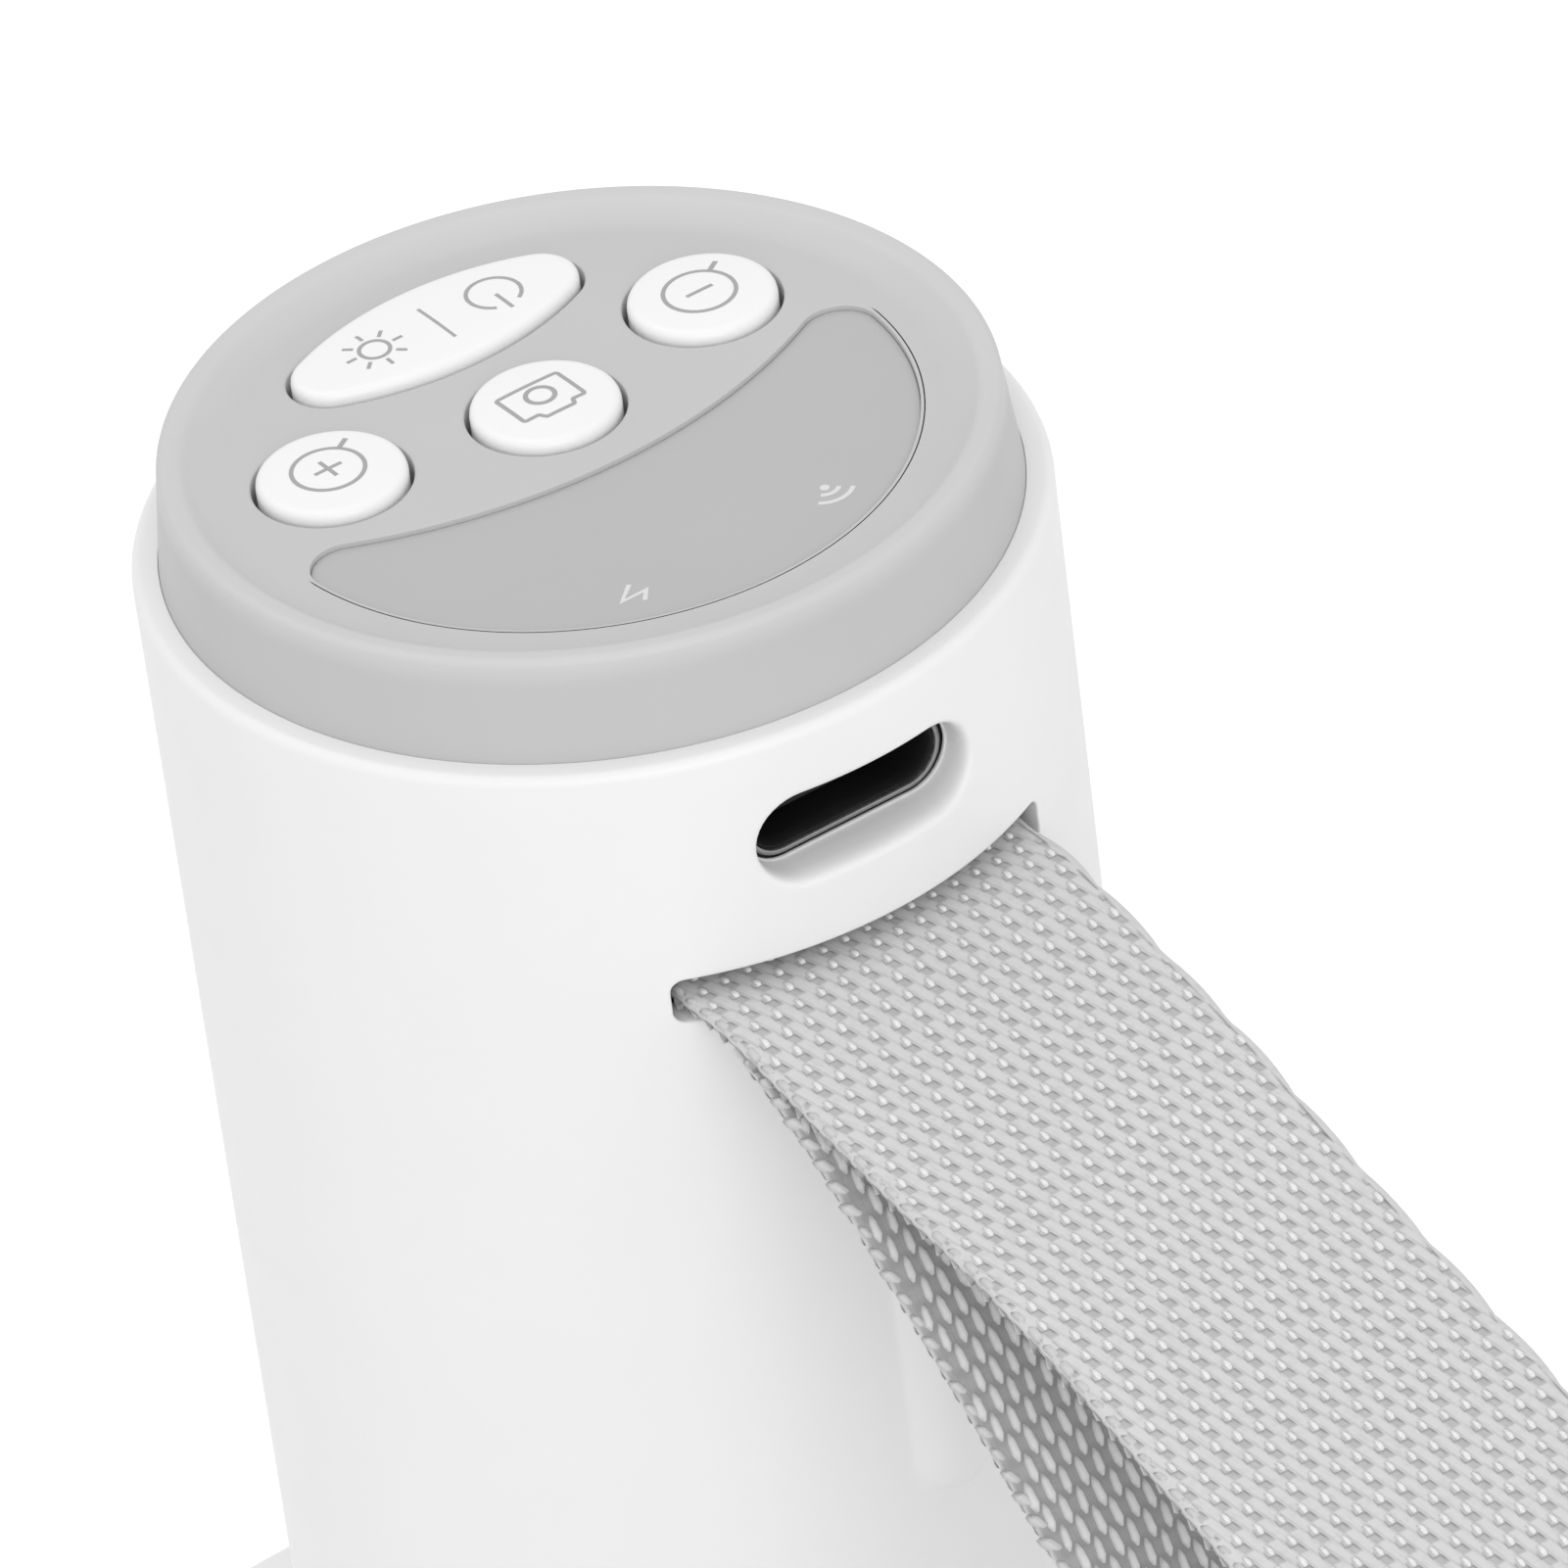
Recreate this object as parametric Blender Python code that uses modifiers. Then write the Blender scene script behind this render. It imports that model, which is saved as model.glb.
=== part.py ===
"""Handheld digital microscope with a wrist strap, standing in its round foot.

Metres, +Z up. The origin is the centre of the foot's flat bottom, the microscope's axis is +Z,
and its port and strap look along -Y.
"""

import math

import bmesh
import bpy
from mathutils import Matrix, Vector

# Fits shared by the whole microscope
FIT = 0.0003
SEAM = 0.0001
SNUG = 0.0002
OVERRUN = 0.001
MERGE = 0.00001

# Sides of the round pieces
ROUND = 40
SMALL_ROUND = 20
TINY_ROUND = 12
ARC_STEPS = 4
EDGE_STEPS = 2

# Foot that the nose stands in
FOOT_RADIUS = 0.037
FOOT_HEIGHT = 0.005
FOOT_EDGE = 0.0014
FOOT_FLOOR = 0.003
COLLAR_WALL = 0.0018
COLLAR_HEIGHT = 0.004
COLLAR_EDGE = 0.0006
STAND_CLEARANCE = 0.0004
STAGE_THICKNESS = 0.0012
PAD_RADIUS = 0.033
PAD_WIDTH = 0.004
PAD_THICKNESS = 0.0009

# Clear hood and the ring that clamps it
HOOD_INSET = 0.0027
HOOD_WALL = 0.0015
HOOD_LENGTH = 0.0072
HOOD_FLANGE_OVERHANG = 0.0008
HOOD_FLANGE_THICKNESS = 0.001
HOOD_SPIGOT_WALL = 0.0013
HOOD_SPIGOT_HEIGHT = 0.0013
NOSE_RING_OVERHANG = 0.0002
NOSE_RING_LIP = 0.0007
NOSE_RING_UPSTAND_WALL = 0.0006
NOSE_RING_UPSTAND_HEIGHT = 0.002

# Nose frame: the fixed tube inside the focus ring
NOSE_TUBE_WALL = 0.002
NOSE_LEDGE = 0.001
NOSE_WEB_THICKNESS = 0.0012
NOSE_LENGTH = 0.0144
GUIDE_WALL = 0.0012
GUIDE_LENGTH = 0.0107
SENSOR_SEAT_HEIGHT = 0.0015
SENSOR_SEAT_WALL = 0.0014

# Focus ring
RING_WALL = 0.0018
RIB_HEIGHT = 0.0004
RIB_COUNT = 40
RIB_WIDTH_SHARE = 0.52

# Barrel and its lenses
BARREL_RADIUS = 0.008
BARREL_BORE = 0.0058
BARREL_LENGTH = 0.011
BARREL_BOTTOM = 0.012
BARREL_STOP_BORE = 0.0048
BARREL_STOP_THICKNESS = 0.002
BARREL_STOP_HEIGHT = 0.0052
BARREL_TRAVEL = 0.0025
LENS_RADIUS = 0.0055
LENS_EDGE_THICKNESS = 0.0014
LENS_BULGE = 0.0009
RETAINER_THICKNESS = 0.001
RETAINER_WIDTH = 0.0006
FOCUS_PIN_RADIUS = 0.0008
FOCUS_PIN_HEIGHT = 0.008

# Lamp ring
LAMP_BOARD_THICKNESS = 0.0012
LAMP_COUNT = 8
LAMP_SPACING = 0.0023
LAMP_RADIUS = 0.0009
LAMP_HEIGHT = 0.0011

# Body shell
BODY_RADIUS = 0.0175
BODY_TOP = 0.0764
BODY_WALL = 0.0014
BODY_EDGE = 0.0004
SHELL_LEDGE_WIDTH = 0.0032
SHELL_LEDGE_THICKNESS = 0.0012
RIB_PILL_WIDTH = 0.0037
RIB_PILL_TOP_IN_BODY = 0.0175
RIB_PILL_LENGTH = 0.0191
RIB_PILL_PROUD = 0.0006

# Cap on top
CAP_INSET = 0.0011
CAP_TAPER = 0.00044
CAP_RISE = 0.00427
CAP_LIP_WIDTH = 0.0007
CAP_LIP_ROUNDING = 0.00035
CAP_SLOPE_WIDTH = 0.0018
CAP_SLOPE_SHARES = [(0.42, 0.1), (0.7, 0.4), (0.86, 0.73), (1, 0.92)]
CAP_RECESS = 0.0008
CAP_FACE_THICKNESS = 0.002
CAP_SKIRT_DEPTH = 0.0024
CAP_WALL = 0.0014

# Keys
KEY_PROUD = 0.0004
KEY_CROWN = 0.00012
KEY_EDGE = 0.0004
KEY_TRAVEL = 0.0004
KEY_FLANGE_OVERHANG = 0.00055
KEY_FLANGE_THICKNESS = 0.0008
KEY_PLUNGER_RADIUS = 0.0009

# Keys and crescent on the cap, as shares of the cap's top radius
ROUND_KEY_RADIUS_SHARE = 0.1848
SIDE_KEY_SHARES = (0.5357, 0.2569)
SHUTTER_KEY_SHARE = 0.1441
LIGHT_KEY_SHARE = 0.6078
LIGHT_KEY_LENGTH_SHARE = 0.401
LIGHT_KEY_HEIGHT_SHARE = 0.17105
LIGHT_KEY_ARC_SHARE = 0.777
PANEL_RADIUS_SHARE = 0.802
PANEL_TOP_SHARE = 0.025
PANEL_DIP_SHARE = -0.1504
PANEL_TIP_SHARE = 0.094
LIGHT_GUIDE_SHARES = (0.3885, -0.614)
CAP_SCREW_SHARES = [(0.789, -0.2256), (0.6767, 0.5764)]

# Crescent indicator panel
PANEL_THICKNESS = 0.0008
PANEL_SUNK = 0.0003
PANEL_SEAM = 0.00015
LIGHT_GUIDE_RADIUS = 0.001
LIGHT_GUIDE_COLLAR = 0.0006
LIGHT_GUIDE_COLLAR_HEIGHT = 0.0009
INDICATOR_LENGTH = 0.0016
INDICATOR_WIDTH = 0.0012
INDICATOR_HEIGHT = 0.0006

# Port
PORT_HEIGHT_IN_BODY = 0.00478
PORT_WIDTH = 0.00944
PORT_HEIGHT = 0.0035
SOCKET_WIDTH = 0.00894
SOCKET_HEIGHT = 0.00326
SOCKET_WALL = 0.0003
SOCKET_DEPTH = 0.0073
SOCKET_SETBACK = 0.0021
TONGUE_WIDTH = 0.0067
TONGUE_THICKNESS = 0.0007
TONGUE_SETBACK = 0.0008
SOCKET_BACK = 0.0012

# Key board and its switches
KEY_BOARD_CLEARANCE = 0.0005
BOARD_THICKNESS = 0.0012
SWITCH_SIDE = 0.0045
SWITCH_HEIGHT = 0.003
SWITCH_BUTTON_RADIUS = 0.001
SWITCH_BUTTON_HEIGHT = 0.001

# Chassis inside the shell
CHASSIS_PLATE = 0.0012
CHASSIS_RING_WIDTH = 0.0027
SPINE_THICKNESS = 0.0012
SPINE_INSET = 0.0022
SPINE_FOOT_CLEARANCE = 0.0008
DECK_FRONT_Y = -0.006
STANDOFF_RADIUS = 0.0012
STANDOFF_HEIGHT = 0.0013
DECK_NOTCH_HALF_WIDTH = 0.005

# Screws
SCREW_RADIUS = 0.0006
SCREW_HEAD_RADIUS = 0.00125
SCREW_HEAD_HEIGHT = 0.001
SCREW_SOCKET_RADIUS = 0.0005
SCREW_SOCKET_DEPTH = 0.0005
NOSE_SCREW_INSET = 0.0014
NOSE_SCREW_COUNT = 3
NOSE_SCREW_START = 42
NOSE_SCREW_BITE = 0.0035
CAP_SCREW_BITE = 0.005
CAP_BOSS_RADIUS = 0.0016

# Electronics on the spine
MAIN_BOARD_INSET = 0.0024
MAIN_BOARD_BOTTOM = 0.0318
MAIN_BOARD_HEIGHT = 0.0255
MAIN_BOARD_SCREW_EDGE = 0.0016
MAIN_BOARD_SCREW_INSET = 0.0022
PROCESSOR_SIDE = 0.009
PROCESSOR_THICKNESS = 0.0012
PROCESSOR_HEIGHT = 0.0085
RADIO_WIDTH = 0.012
RADIO_LENGTH = 0.009
RADIO_THICKNESS = 0.0022
RADIO_HEIGHT = 0.0187
BATTERY_INSET = 0.0058
BATTERY_THICKNESS = 0.008
BATTERY_HEIGHT = 0.0255
BATTERY_EDGE = 0.001
RIBBON_THICKNESS = 0.0003
RIBBON_HALF_WIDTH = 0.0035
RIBBON_RISE = 0.0032
RIBBON_RUN = 0.0055
KEY_RIBBON_OVERLAP = 0.002

# Image sensor
SENSOR_BOARD_INSET = 0.0011
SENSOR_SIDE = 0.007
SENSOR_THICKNESS = 0.001

# Strap slot, strap and its pin
SLOT_HALF_WIDTH = 0.00845
SLOT_TOP_IN_BODY = 0.00968
SLOT_HEIGHT = 0.0019
SLOT_CORNER = 0.0005
STRAP_HALF_WIDTH = 0.0081
STRAP_THICKNESS = 0.0008
STRAP_TAB_THICKNESS = 0.0008
STRAP_TAB_RISE = 0.0008
STRAP_PIN_RADIUS = 0.0009
STRAP_PIN_INSET = 0.0055
STRAP_LUG_THICKNESS = 0.0012
STRAP_LUG_WALL = 0.0007
STRAP_EYE_WALL = 0.0006
STRAP_FLOOR_CLEARANCE = 0.0004
STRAP_ROOT = 0.003
STRAP_REACH = 0.0949
STRAP_ROOT_DROP = 0.001
STRAP_POINTS = 66

# Radii and places that follow from the body's radius
SHELL_BORE = BODY_RADIUS - BODY_WALL
CAP_BASE_RADIUS = BODY_RADIUS - CAP_INSET
CAP_TOP_RADIUS = CAP_BASE_RADIUS - CAP_TAPER
ROUND_KEY_RADIUS = CAP_TOP_RADIUS * ROUND_KEY_RADIUS_SHARE
SIDE_KEY_X, SIDE_KEY_Y = (CAP_TOP_RADIUS * share for share in SIDE_KEY_SHARES)
SHUTTER_KEY_Y = CAP_TOP_RADIUS * SHUTTER_KEY_SHARE
LIGHT_KEY_Y = CAP_TOP_RADIUS * LIGHT_KEY_SHARE
LIGHT_KEY_HALF_LENGTH = CAP_TOP_RADIUS * LIGHT_KEY_LENGTH_SHARE
LIGHT_KEY_HALF_HEIGHT = CAP_TOP_RADIUS * LIGHT_KEY_HEIGHT_SHARE
LIGHT_KEY_ARC_RADIUS = CAP_TOP_RADIUS * LIGHT_KEY_ARC_SHARE
PANEL_RADIUS = CAP_TOP_RADIUS * PANEL_RADIUS_SHARE
PANEL_TOP_Y = CAP_TOP_RADIUS * PANEL_TOP_SHARE
PANEL_DIP_Y = CAP_TOP_RADIUS * PANEL_DIP_SHARE
PANEL_TIP_RADIUS = CAP_TOP_RADIUS * PANEL_TIP_SHARE
LIGHT_GUIDE_X, LIGHT_GUIDE_Y = (CAP_TOP_RADIUS * share for share in LIGHT_GUIDE_SHARES)
CHASSIS_RADIUS = SHELL_BORE - FIT
KEY_BOARD_RADIUS = SHELL_BORE - KEY_BOARD_CLEARANCE
SPINE_HALF_WIDTH = CHASSIS_RADIUS - SPINE_INSET
MAIN_BOARD_HALF_WIDTH = SPINE_HALF_WIDTH - MAIN_BOARD_INSET
MAIN_BOARD_SCREW_X = MAIN_BOARD_HALF_WIDTH - MAIN_BOARD_SCREW_EDGE
BATTERY_HALF_WIDTH = CHASSIS_RADIUS - BATTERY_INSET
HOOD_RADIUS = BODY_RADIUS - HOOD_INSET
NOSE_TUBE_RADIUS = HOOD_RADIUS + HOOD_FLANGE_OVERHANG
NOSE_TUBE_BORE = NOSE_TUBE_RADIUS - NOSE_TUBE_WALL
NOSE_SCREW_CIRCLE = NOSE_TUBE_RADIUS - NOSE_SCREW_INSET
SENSOR_BOARD_RADIUS = NOSE_TUBE_BORE - SENSOR_BOARD_INSET
LAMP_CIRCLE = BARREL_RADIUS + LAMP_SPACING
STRAP_PIN_Y = STRAP_PIN_INSET - SHELL_BORE

# Heights that follow from the sizes above
STAGE_BOTTOM = FOOT_FLOOR + FIT
STAGE_TOP = STAGE_BOTTOM + STAGE_THICKNESS
HOOD_BOTTOM = STAGE_TOP + FIT
HOOD_TOP = HOOD_BOTTOM + HOOD_LENGTH
COLLAR_BORE = HOOD_RADIUS + STAND_CLEARANCE
NOSE_BOTTOM = HOOD_TOP + FIT
NOSE_TOP = NOSE_BOTTOM + NOSE_LENGTH
RING_BORE = NOSE_TUBE_RADIUS + FIT
RING_RADIUS = RING_BORE + RING_WALL
RING_BOTTOM = NOSE_BOTTOM
SHELL_BOTTOM = NOSE_TOP - NOSE_WEB_THICKNESS - FIT
RING_TOP = SHELL_BOTTOM - FIT
SHELL_LEDGE_BOTTOM = NOSE_TOP + FIT
SHELL_LEDGE_TOP = SHELL_LEDGE_BOTTOM + SHELL_LEDGE_THICKNESS
SENSOR_BOARD_BOTTOM = NOSE_TOP + SENSOR_SEAT_HEIGHT + FIT
SENSOR_BOARD_TOP = SENSOR_BOARD_BOTTOM + BOARD_THICKNESS
CHASSIS_BOTTOM = SHELL_LEDGE_TOP + FIT
CHASSIS_RING_TOP = CHASSIS_BOTTOM + CHASSIS_PLATE
CAP_TOP = BODY_TOP + CAP_RISE
CAP_FACE = CAP_TOP - CAP_RECESS
CAP_UNDERSIDE = CAP_FACE - CAP_FACE_THICKNESS
CAP_BOTTOM = BODY_TOP - CAP_SKIRT_DEPTH
CAP_SEAT = CAP_BOTTOM - FIT
PORT_Z = BODY_TOP - PORT_HEIGHT_IN_BODY
SOCKET_FRONT_Y = SOCKET_SETBACK - BODY_RADIUS
KEY_BOARD_TOP = PORT_Z - SOCKET_HEIGHT / 2 - FIT
KEY_BOARD_BOTTOM = KEY_BOARD_TOP - BOARD_THICKNESS
DECK_TOP = KEY_BOARD_BOTTOM - FIT
DECK_BOTTOM = DECK_TOP - CHASSIS_PLATE
SWITCH_TOP = KEY_BOARD_TOP + FIT + SWITCH_HEIGHT + SWITCH_BUTTON_HEIGHT
KEY_FLANGE_TOP = CAP_UNDERSIDE - FIT
KEY_TOP = CAP_FACE + KEY_PROUD
KEY_PLUNGER_BOTTOM = SWITCH_TOP + KEY_TRAVEL + FIT
SLOT_TOP = BODY_TOP - SLOT_TOP_IN_BODY
STRAP_TAB_Z = SLOT_TOP - SLOT_HEIGHT + FIT + STRAP_TAB_THICKNESS / 2
STRAP_LUG_X = STRAP_HALF_WIDTH + FIT
STRAP_FLOOR_Z = STRAP_FLOOR_CLEARANCE + STRAP_THICKNESS / 2

ROUND_KEYS = {
    "zoom_in_key": (-SIDE_KEY_X, SIDE_KEY_Y),
    "zoom_out_key": (SIDE_KEY_X, SIDE_KEY_Y),
    "shutter_key": (0, SHUTTER_KEY_Y),
}
CAP_SCREW_PLACES = [
    (side * CAP_TOP_RADIUS * across, CAP_TOP_RADIUS * back)
    for across, back in CAP_SCREW_SHARES
    for side in (-1, 1)
]

# The wrist loop's centreline seen from its edge, out to its far end and back: shares of its
# reach beyond the root and of the root's height above the floor
STRAP_ROUTE_SHARES = [
    (0.000, 1.007),
    (0.047, 0.983),
    (0.100, 0.951),
    (0.153, 0.920),
    (0.205, 0.887),
    (0.258, 0.857),
    (0.332, 0.810),
    (0.416, 0.747),
    (0.501, 0.667),
    (0.585, 0.560),
    (0.669, 0.416),
    (0.743, 0.274),
    (0.806, 0.164),
    (0.864, 0.097),
    (0.917, 0.071),
    (0.959, 0.065),
    (0.988, 0.053),
    (1.000, 0.031),
    (0.989, 0.009),
    (0.959, 0.000),
    (0.890, 0.000),
    (0.817, 0.000),
    (0.743, 0.000),
    (0.680, 0.001),
    (0.627, 0.017),
    (0.580, 0.066),
    (0.527, 0.162),
    (0.469, 0.301),
    (0.406, 0.456),
    (0.337, 0.596),
    (0.269, 0.703),
    (0.205, 0.785),
    (0.153, 0.848),
    (0.111, 0.895),
    (0.074, 0.935),
    (0.037, 0.969),
    (0.000, 0.993),
]


def clear_scene():
    for obj in list(bpy.data.objects):
        bpy.data.objects.remove(obj, do_unlink=True)


def new_collection(name):
    made = bpy.data.collections.new(name)
    bpy.context.scene.collection.children.link(made)
    return made


clear_scene()
PARTS = new_collection("digital_microscope")
CUTTERS = new_collection("cutters")


def material(name, colour, roughness, metallic=0.0, alpha=1.0):
    made = bpy.data.materials.new(name)
    made.use_nodes = True
    shader = made.node_tree.nodes["Principled BSDF"]
    shader.inputs["Base Color"].default_value = (*colour, 1.0)
    shader.inputs["Roughness"].default_value = roughness
    shader.inputs["Metallic"].default_value = metallic
    shader.inputs["Alpha"].default_value = alpha
    made.diffuse_color = (*colour, alpha)
    return made


def frame_empty(name, z):
    empty = bpy.data.objects.new(name, None)
    empty.location = (0, 0, z)
    PARTS.objects.link(empty)
    return empty


def add_object(name, data):
    obj = bpy.data.objects.new(name, data)
    PARTS.objects.link(obj)
    return obj


def hold(obj, parent):
    """Parent a piece to its body's empty and keep the piece where it is."""
    obj.parent = parent
    obj.matrix_parent_inverse = Matrix.Translation(parent.location).inverted()


def as_cutter(obj):
    PARTS.objects.unlink(obj)
    CUTTERS.objects.link(obj)
    obj.hide_render = True
    obj.display_type = "WIRE"
    return obj


def combine(obj, tool, operation="DIFFERENCE"):
    boolean = obj.modifiers.new(tool.name, "BOOLEAN")
    boolean.operation = operation
    boolean.solver = "EXACT"
    boolean.object = as_cutter(tool)
    return obj


def mesh_from(name, bm):
    data = bpy.data.meshes.new(name)
    bm.to_mesh(data)
    bm.free()
    return data


def turned(name, profile, sides=ROUND, closed=True):
    """A profile of (radius, height) points turned about Z; it runs down its outer side."""
    data = bpy.data.meshes.new(name)
    edges = [(i, i + 1) for i in range(len(profile) - 1)]
    if closed:
        edges.append((len(profile) - 1, 0))
    data.from_pydata([(r, 0, z) for r, z in profile], edges, [])
    obj = add_object(name, data)
    screw = obj.modifiers.new("turn", "SCREW")
    screw.steps = screw.render_steps = sides
    screw.use_merge_vertices = True
    screw.merge_threshold = MERGE
    return obj


def hoop(name, radius, width, low, high, sides=ROUND):
    """A flat-sided ring between two heights, inward from its outer radius."""
    bore = radius - width
    return turned(name, [(radius, high), (radius, low), (bore, low), (bore, high)], sides)


def settled(obj):
    """The object's evaluated shape as a plain welded mesh; the object itself is removed."""
    bpy.context.view_layer.update()
    evaluated = obj.evaluated_get(bpy.context.evaluated_depsgraph_get())
    data = bpy.data.meshes.new_from_object(evaluated)
    data.transform(obj.matrix_world)
    bm = bmesh.new()
    bm.from_mesh(data)
    bmesh.ops.remove_doubles(bm, verts=bm.verts, dist=MERGE)
    bm.to_mesh(data)
    bm.free()
    bpy.data.objects.remove(obj, do_unlink=True)
    return data


def dressed(data, name, finish):
    """Name a mesh, give it its material and shade its round faces smooth."""
    data.name = name
    data.materials.clear()
    data.materials.append(finish)
    data.shade_smooth()
    data.set_sharp_from_angle(angle=math.radians(35))
    return data


def placed(name, obj, parent, finish):
    """Settle a shape's modifiers and give it its name, its body and its material."""
    bpy.context.view_layer.update()
    evaluated = obj.evaluated_get(bpy.context.evaluated_depsgraph_get())
    data = bpy.data.meshes.new_from_object(evaluated)
    obj.modifiers.clear()
    obj.data = dressed(data, name, finish)
    obj.name = name
    hold(obj, parent)


def repeated(name, data, places, parent, finish):
    """Copies of a mesh as pieces of their own, numbered, one at each matrix."""
    dressed(data, name, finish)
    for i, place in enumerate(places, 1):
        copy = add_object(f"{name}_{i}", data)
        copy.matrix_world = place
        hold(copy, parent)


def box(name, low, high, edge=0):
    low, high = Vector(low), Vector(high)
    size, centre = high - low, (high + low) / 2
    bm = bmesh.new()
    bmesh.ops.create_cube(bm, size=1)
    bmesh.ops.scale(bm, vec=size, verts=bm.verts)
    obj = add_object(name, mesh_from(name, bm))
    obj.location = centre
    if edge:
        bevel = obj.modifiers.new("edge", "BEVEL")
        bevel.width = edge
        bevel.segments = EDGE_STEPS
    return obj


def rods(name, radius, low, high, places, sides=TINY_ROUND):
    """Upright rods between two heights, one at each (x, y)."""
    bm = bmesh.new()
    for x, y in places:
        centre = Matrix.Translation((x, y, (low + high) / 2))
        bmesh.ops.create_cone(
            bm, cap_ends=True, segments=sides, radius1=radius, radius2=radius, depth=high - low,
            matrix=centre,
        )
    return add_object(name, mesh_from(name, bm))


def rod_along(name, axis, radius, low, high, places, sides=TINY_ROUND):
    """Level rods along X or Y between two stations, one at each place across it."""
    turn = Matrix.Rotation(math.pi / 2, 4, "Y" if axis == "X" else "X")
    bm = bmesh.new()
    for across, z in places:
        middle = (low + high) / 2
        centre = (middle, across, z) if axis == "X" else (across, middle, z)
        bmesh.ops.create_cone(
            bm, cap_ends=True, segments=sides, radius1=radius, radius2=radius, depth=high - low,
            matrix=Matrix.Translation(centre) @ turn,
        )
    return add_object(name, mesh_from(name, bm))


def arc(centre, radius, start, end, steps=ARC_STEPS):
    """Points on an arc, from one angle to another in degrees, both ends included."""
    cx, cy = centre
    for i in range(steps + 1):
        angle = math.radians(start + (end - start) * i / steps)
        yield cx + radius * math.cos(angle), cy + radius * math.sin(angle)


def circle(centre, radius, sides):
    return list(arc(centre, radius, 0, 360, sides))[:-1]


def pill(width, height, steps=ARC_STEPS * 2):
    """A pill with round ends, centred on its own origin."""
    r = height / 2
    right = arc((width / 2 - r, 0), r, -90, 90, steps)
    left = arc((r - width / 2, 0), r, 90, 270, steps)
    return [*right, *left]


UPRIGHT = Matrix(((1, 0, 0, 0), (0, 0, -1, 0), (0, 1, 0, 0), (0, 0, 0, 1)))
EDGEWISE = Matrix(((0, 0, -1, 0), (-1, 0, 0, 0), (0, 1, 0, 0), (0, 0, 0, 1)))


def slab(name, outlines, thickness, place):
    """A flat outline, with any holes, thickened both ways about the plane of its place."""
    curve = bpy.data.curves.new(name, "CURVE")
    curve.dimensions = "2D"
    curve.fill_mode = "BOTH"
    curve.extrude = thickness / 2
    for outline in outlines:
        spline = curve.splines.new("POLY")
        spline.points.add(len(outline) - 1)
        for point, (x, y) in zip(spline.points, outline):
            point.co = (x, y, 0, 1)
        spline.use_cyclic_u = True
    obj = add_object(name, curve)
    obj.matrix_world = place
    bpy.context.view_layer.update()
    return add_object(name, settled(obj))


def flat_slab(name, outlines, low, high):
    return slab(name, outlines, high - low, Matrix.Translation((0, 0, (low + high) / 2)))


def around(radius, count, start=90):
    for i in range(count):
        angle = math.radians(start + 360 * i / count)
        yield radius * math.cos(angle), radius * math.sin(angle)


WHITE = material("white_plastic", (0.86, 0.86, 0.86), 0.42)
KEY_WHITE = material("key_plastic", (0.90, 0.90, 0.90), 0.35)
CAP_GREY = material("cap_plastic", (0.58, 0.58, 0.58), 0.60)
PANEL_GREY = material("panel_plastic", (0.47, 0.47, 0.48), 0.40)
RING_GREY = material("ring_plastic", (0.55, 0.55, 0.56), 0.60)
CLEAR = material("clear_plastic", (0.90, 0.92, 0.92), 0.10, alpha=0.35)
DIFFUSER = material("milky_plastic", (0.85, 0.85, 0.82), 0.45)
GLASS = material("lens_glass", (0.75, 0.82, 0.85), 0.02, alpha=0.35)
BLACK = material("black_plastic", (0.02, 0.02, 0.02), 0.45)
INNER_GREY = material("inner_plastic", (0.22, 0.22, 0.23), 0.55)
BOARD = material("board_laminate", (0.03, 0.16, 0.09), 0.45)
CHIP = material("chip_resin", (0.03, 0.03, 0.03), 0.50)
SHIELD = material("tinned_steel", (0.70, 0.70, 0.70), 0.30, 1.0)
STEEL = material("screw_steel", (0.62, 0.62, 0.64), 0.35, 1.0)
BARREL_METAL = material("barrel_aluminium", (0.05, 0.05, 0.05), 0.40, 1.0)
RUBBER = material("pad_rubber", (0.10, 0.10, 0.10), 0.80)
FILM = material("cell_film", (0.60, 0.60, 0.62), 0.35, 0.6)
RIBBON = material("ribbon_film", (0.55, 0.24, 0.05), 0.40)
WEBBING = material("strap_webbing", (0.60, 0.60, 0.61), 0.85)
STAGE = material("stage_plastic", (0.80, 0.80, 0.80), 0.55)

FOOT_BODY = frame_empty("foot_frame", 0)
SCOPE_BODY = frame_empty("microscope_frame", HOOD_BOTTOM)
RING_BODY = frame_empty("focus_ring_frame", RING_BOTTOM)
BARREL_BODY = frame_empty("barrel_frame", BARREL_BOTTOM)


def make_foot():
    collar_radius = COLLAR_BORE + COLLAR_WALL
    collar_top = FOOT_HEIGHT + COLLAR_HEIGHT
    edge_centre = (FOOT_RADIUS - FOOT_EDGE, FOOT_HEIGHT - FOOT_EDGE)
    edge = arc(edge_centre, FOOT_EDGE, 90, 0, EDGE_STEPS + 1)
    rim_centre = (collar_radius - COLLAR_EDGE, collar_top - COLLAR_EDGE)
    rim = arc(rim_centre, COLLAR_EDGE, 90, 0, EDGE_STEPS)
    profile = [
        (0, FOOT_FLOOR),
        (COLLAR_BORE, FOOT_FLOOR),
        (COLLAR_BORE, collar_top),
        *rim,
        (collar_radius, FOOT_HEIGHT),
        *edge,
        (FOOT_RADIUS, 0),
        (0, 0),
    ]
    foot = turned("foot_disc", profile, closed=False)
    groove = hoop("pad_groove", PAD_RADIUS + FIT, PAD_WIDTH + 2 * FIT, -OVERRUN, PAD_THICKNESS + FIT)
    placed("foot_disc", combine(foot, groove), FOOT_BODY, WHITE)
    placed("foot_pad", hoop("pad", PAD_RADIUS, PAD_WIDTH, 0, PAD_THICKNESS), FOOT_BODY, RUBBER)
    stage = rods("stage_plate", HOOD_RADIUS, STAGE_BOTTOM, STAGE_TOP, [(0, 0)], ROUND)
    placed("stage_plate", stage, FOOT_BODY, STAGE)


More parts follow.
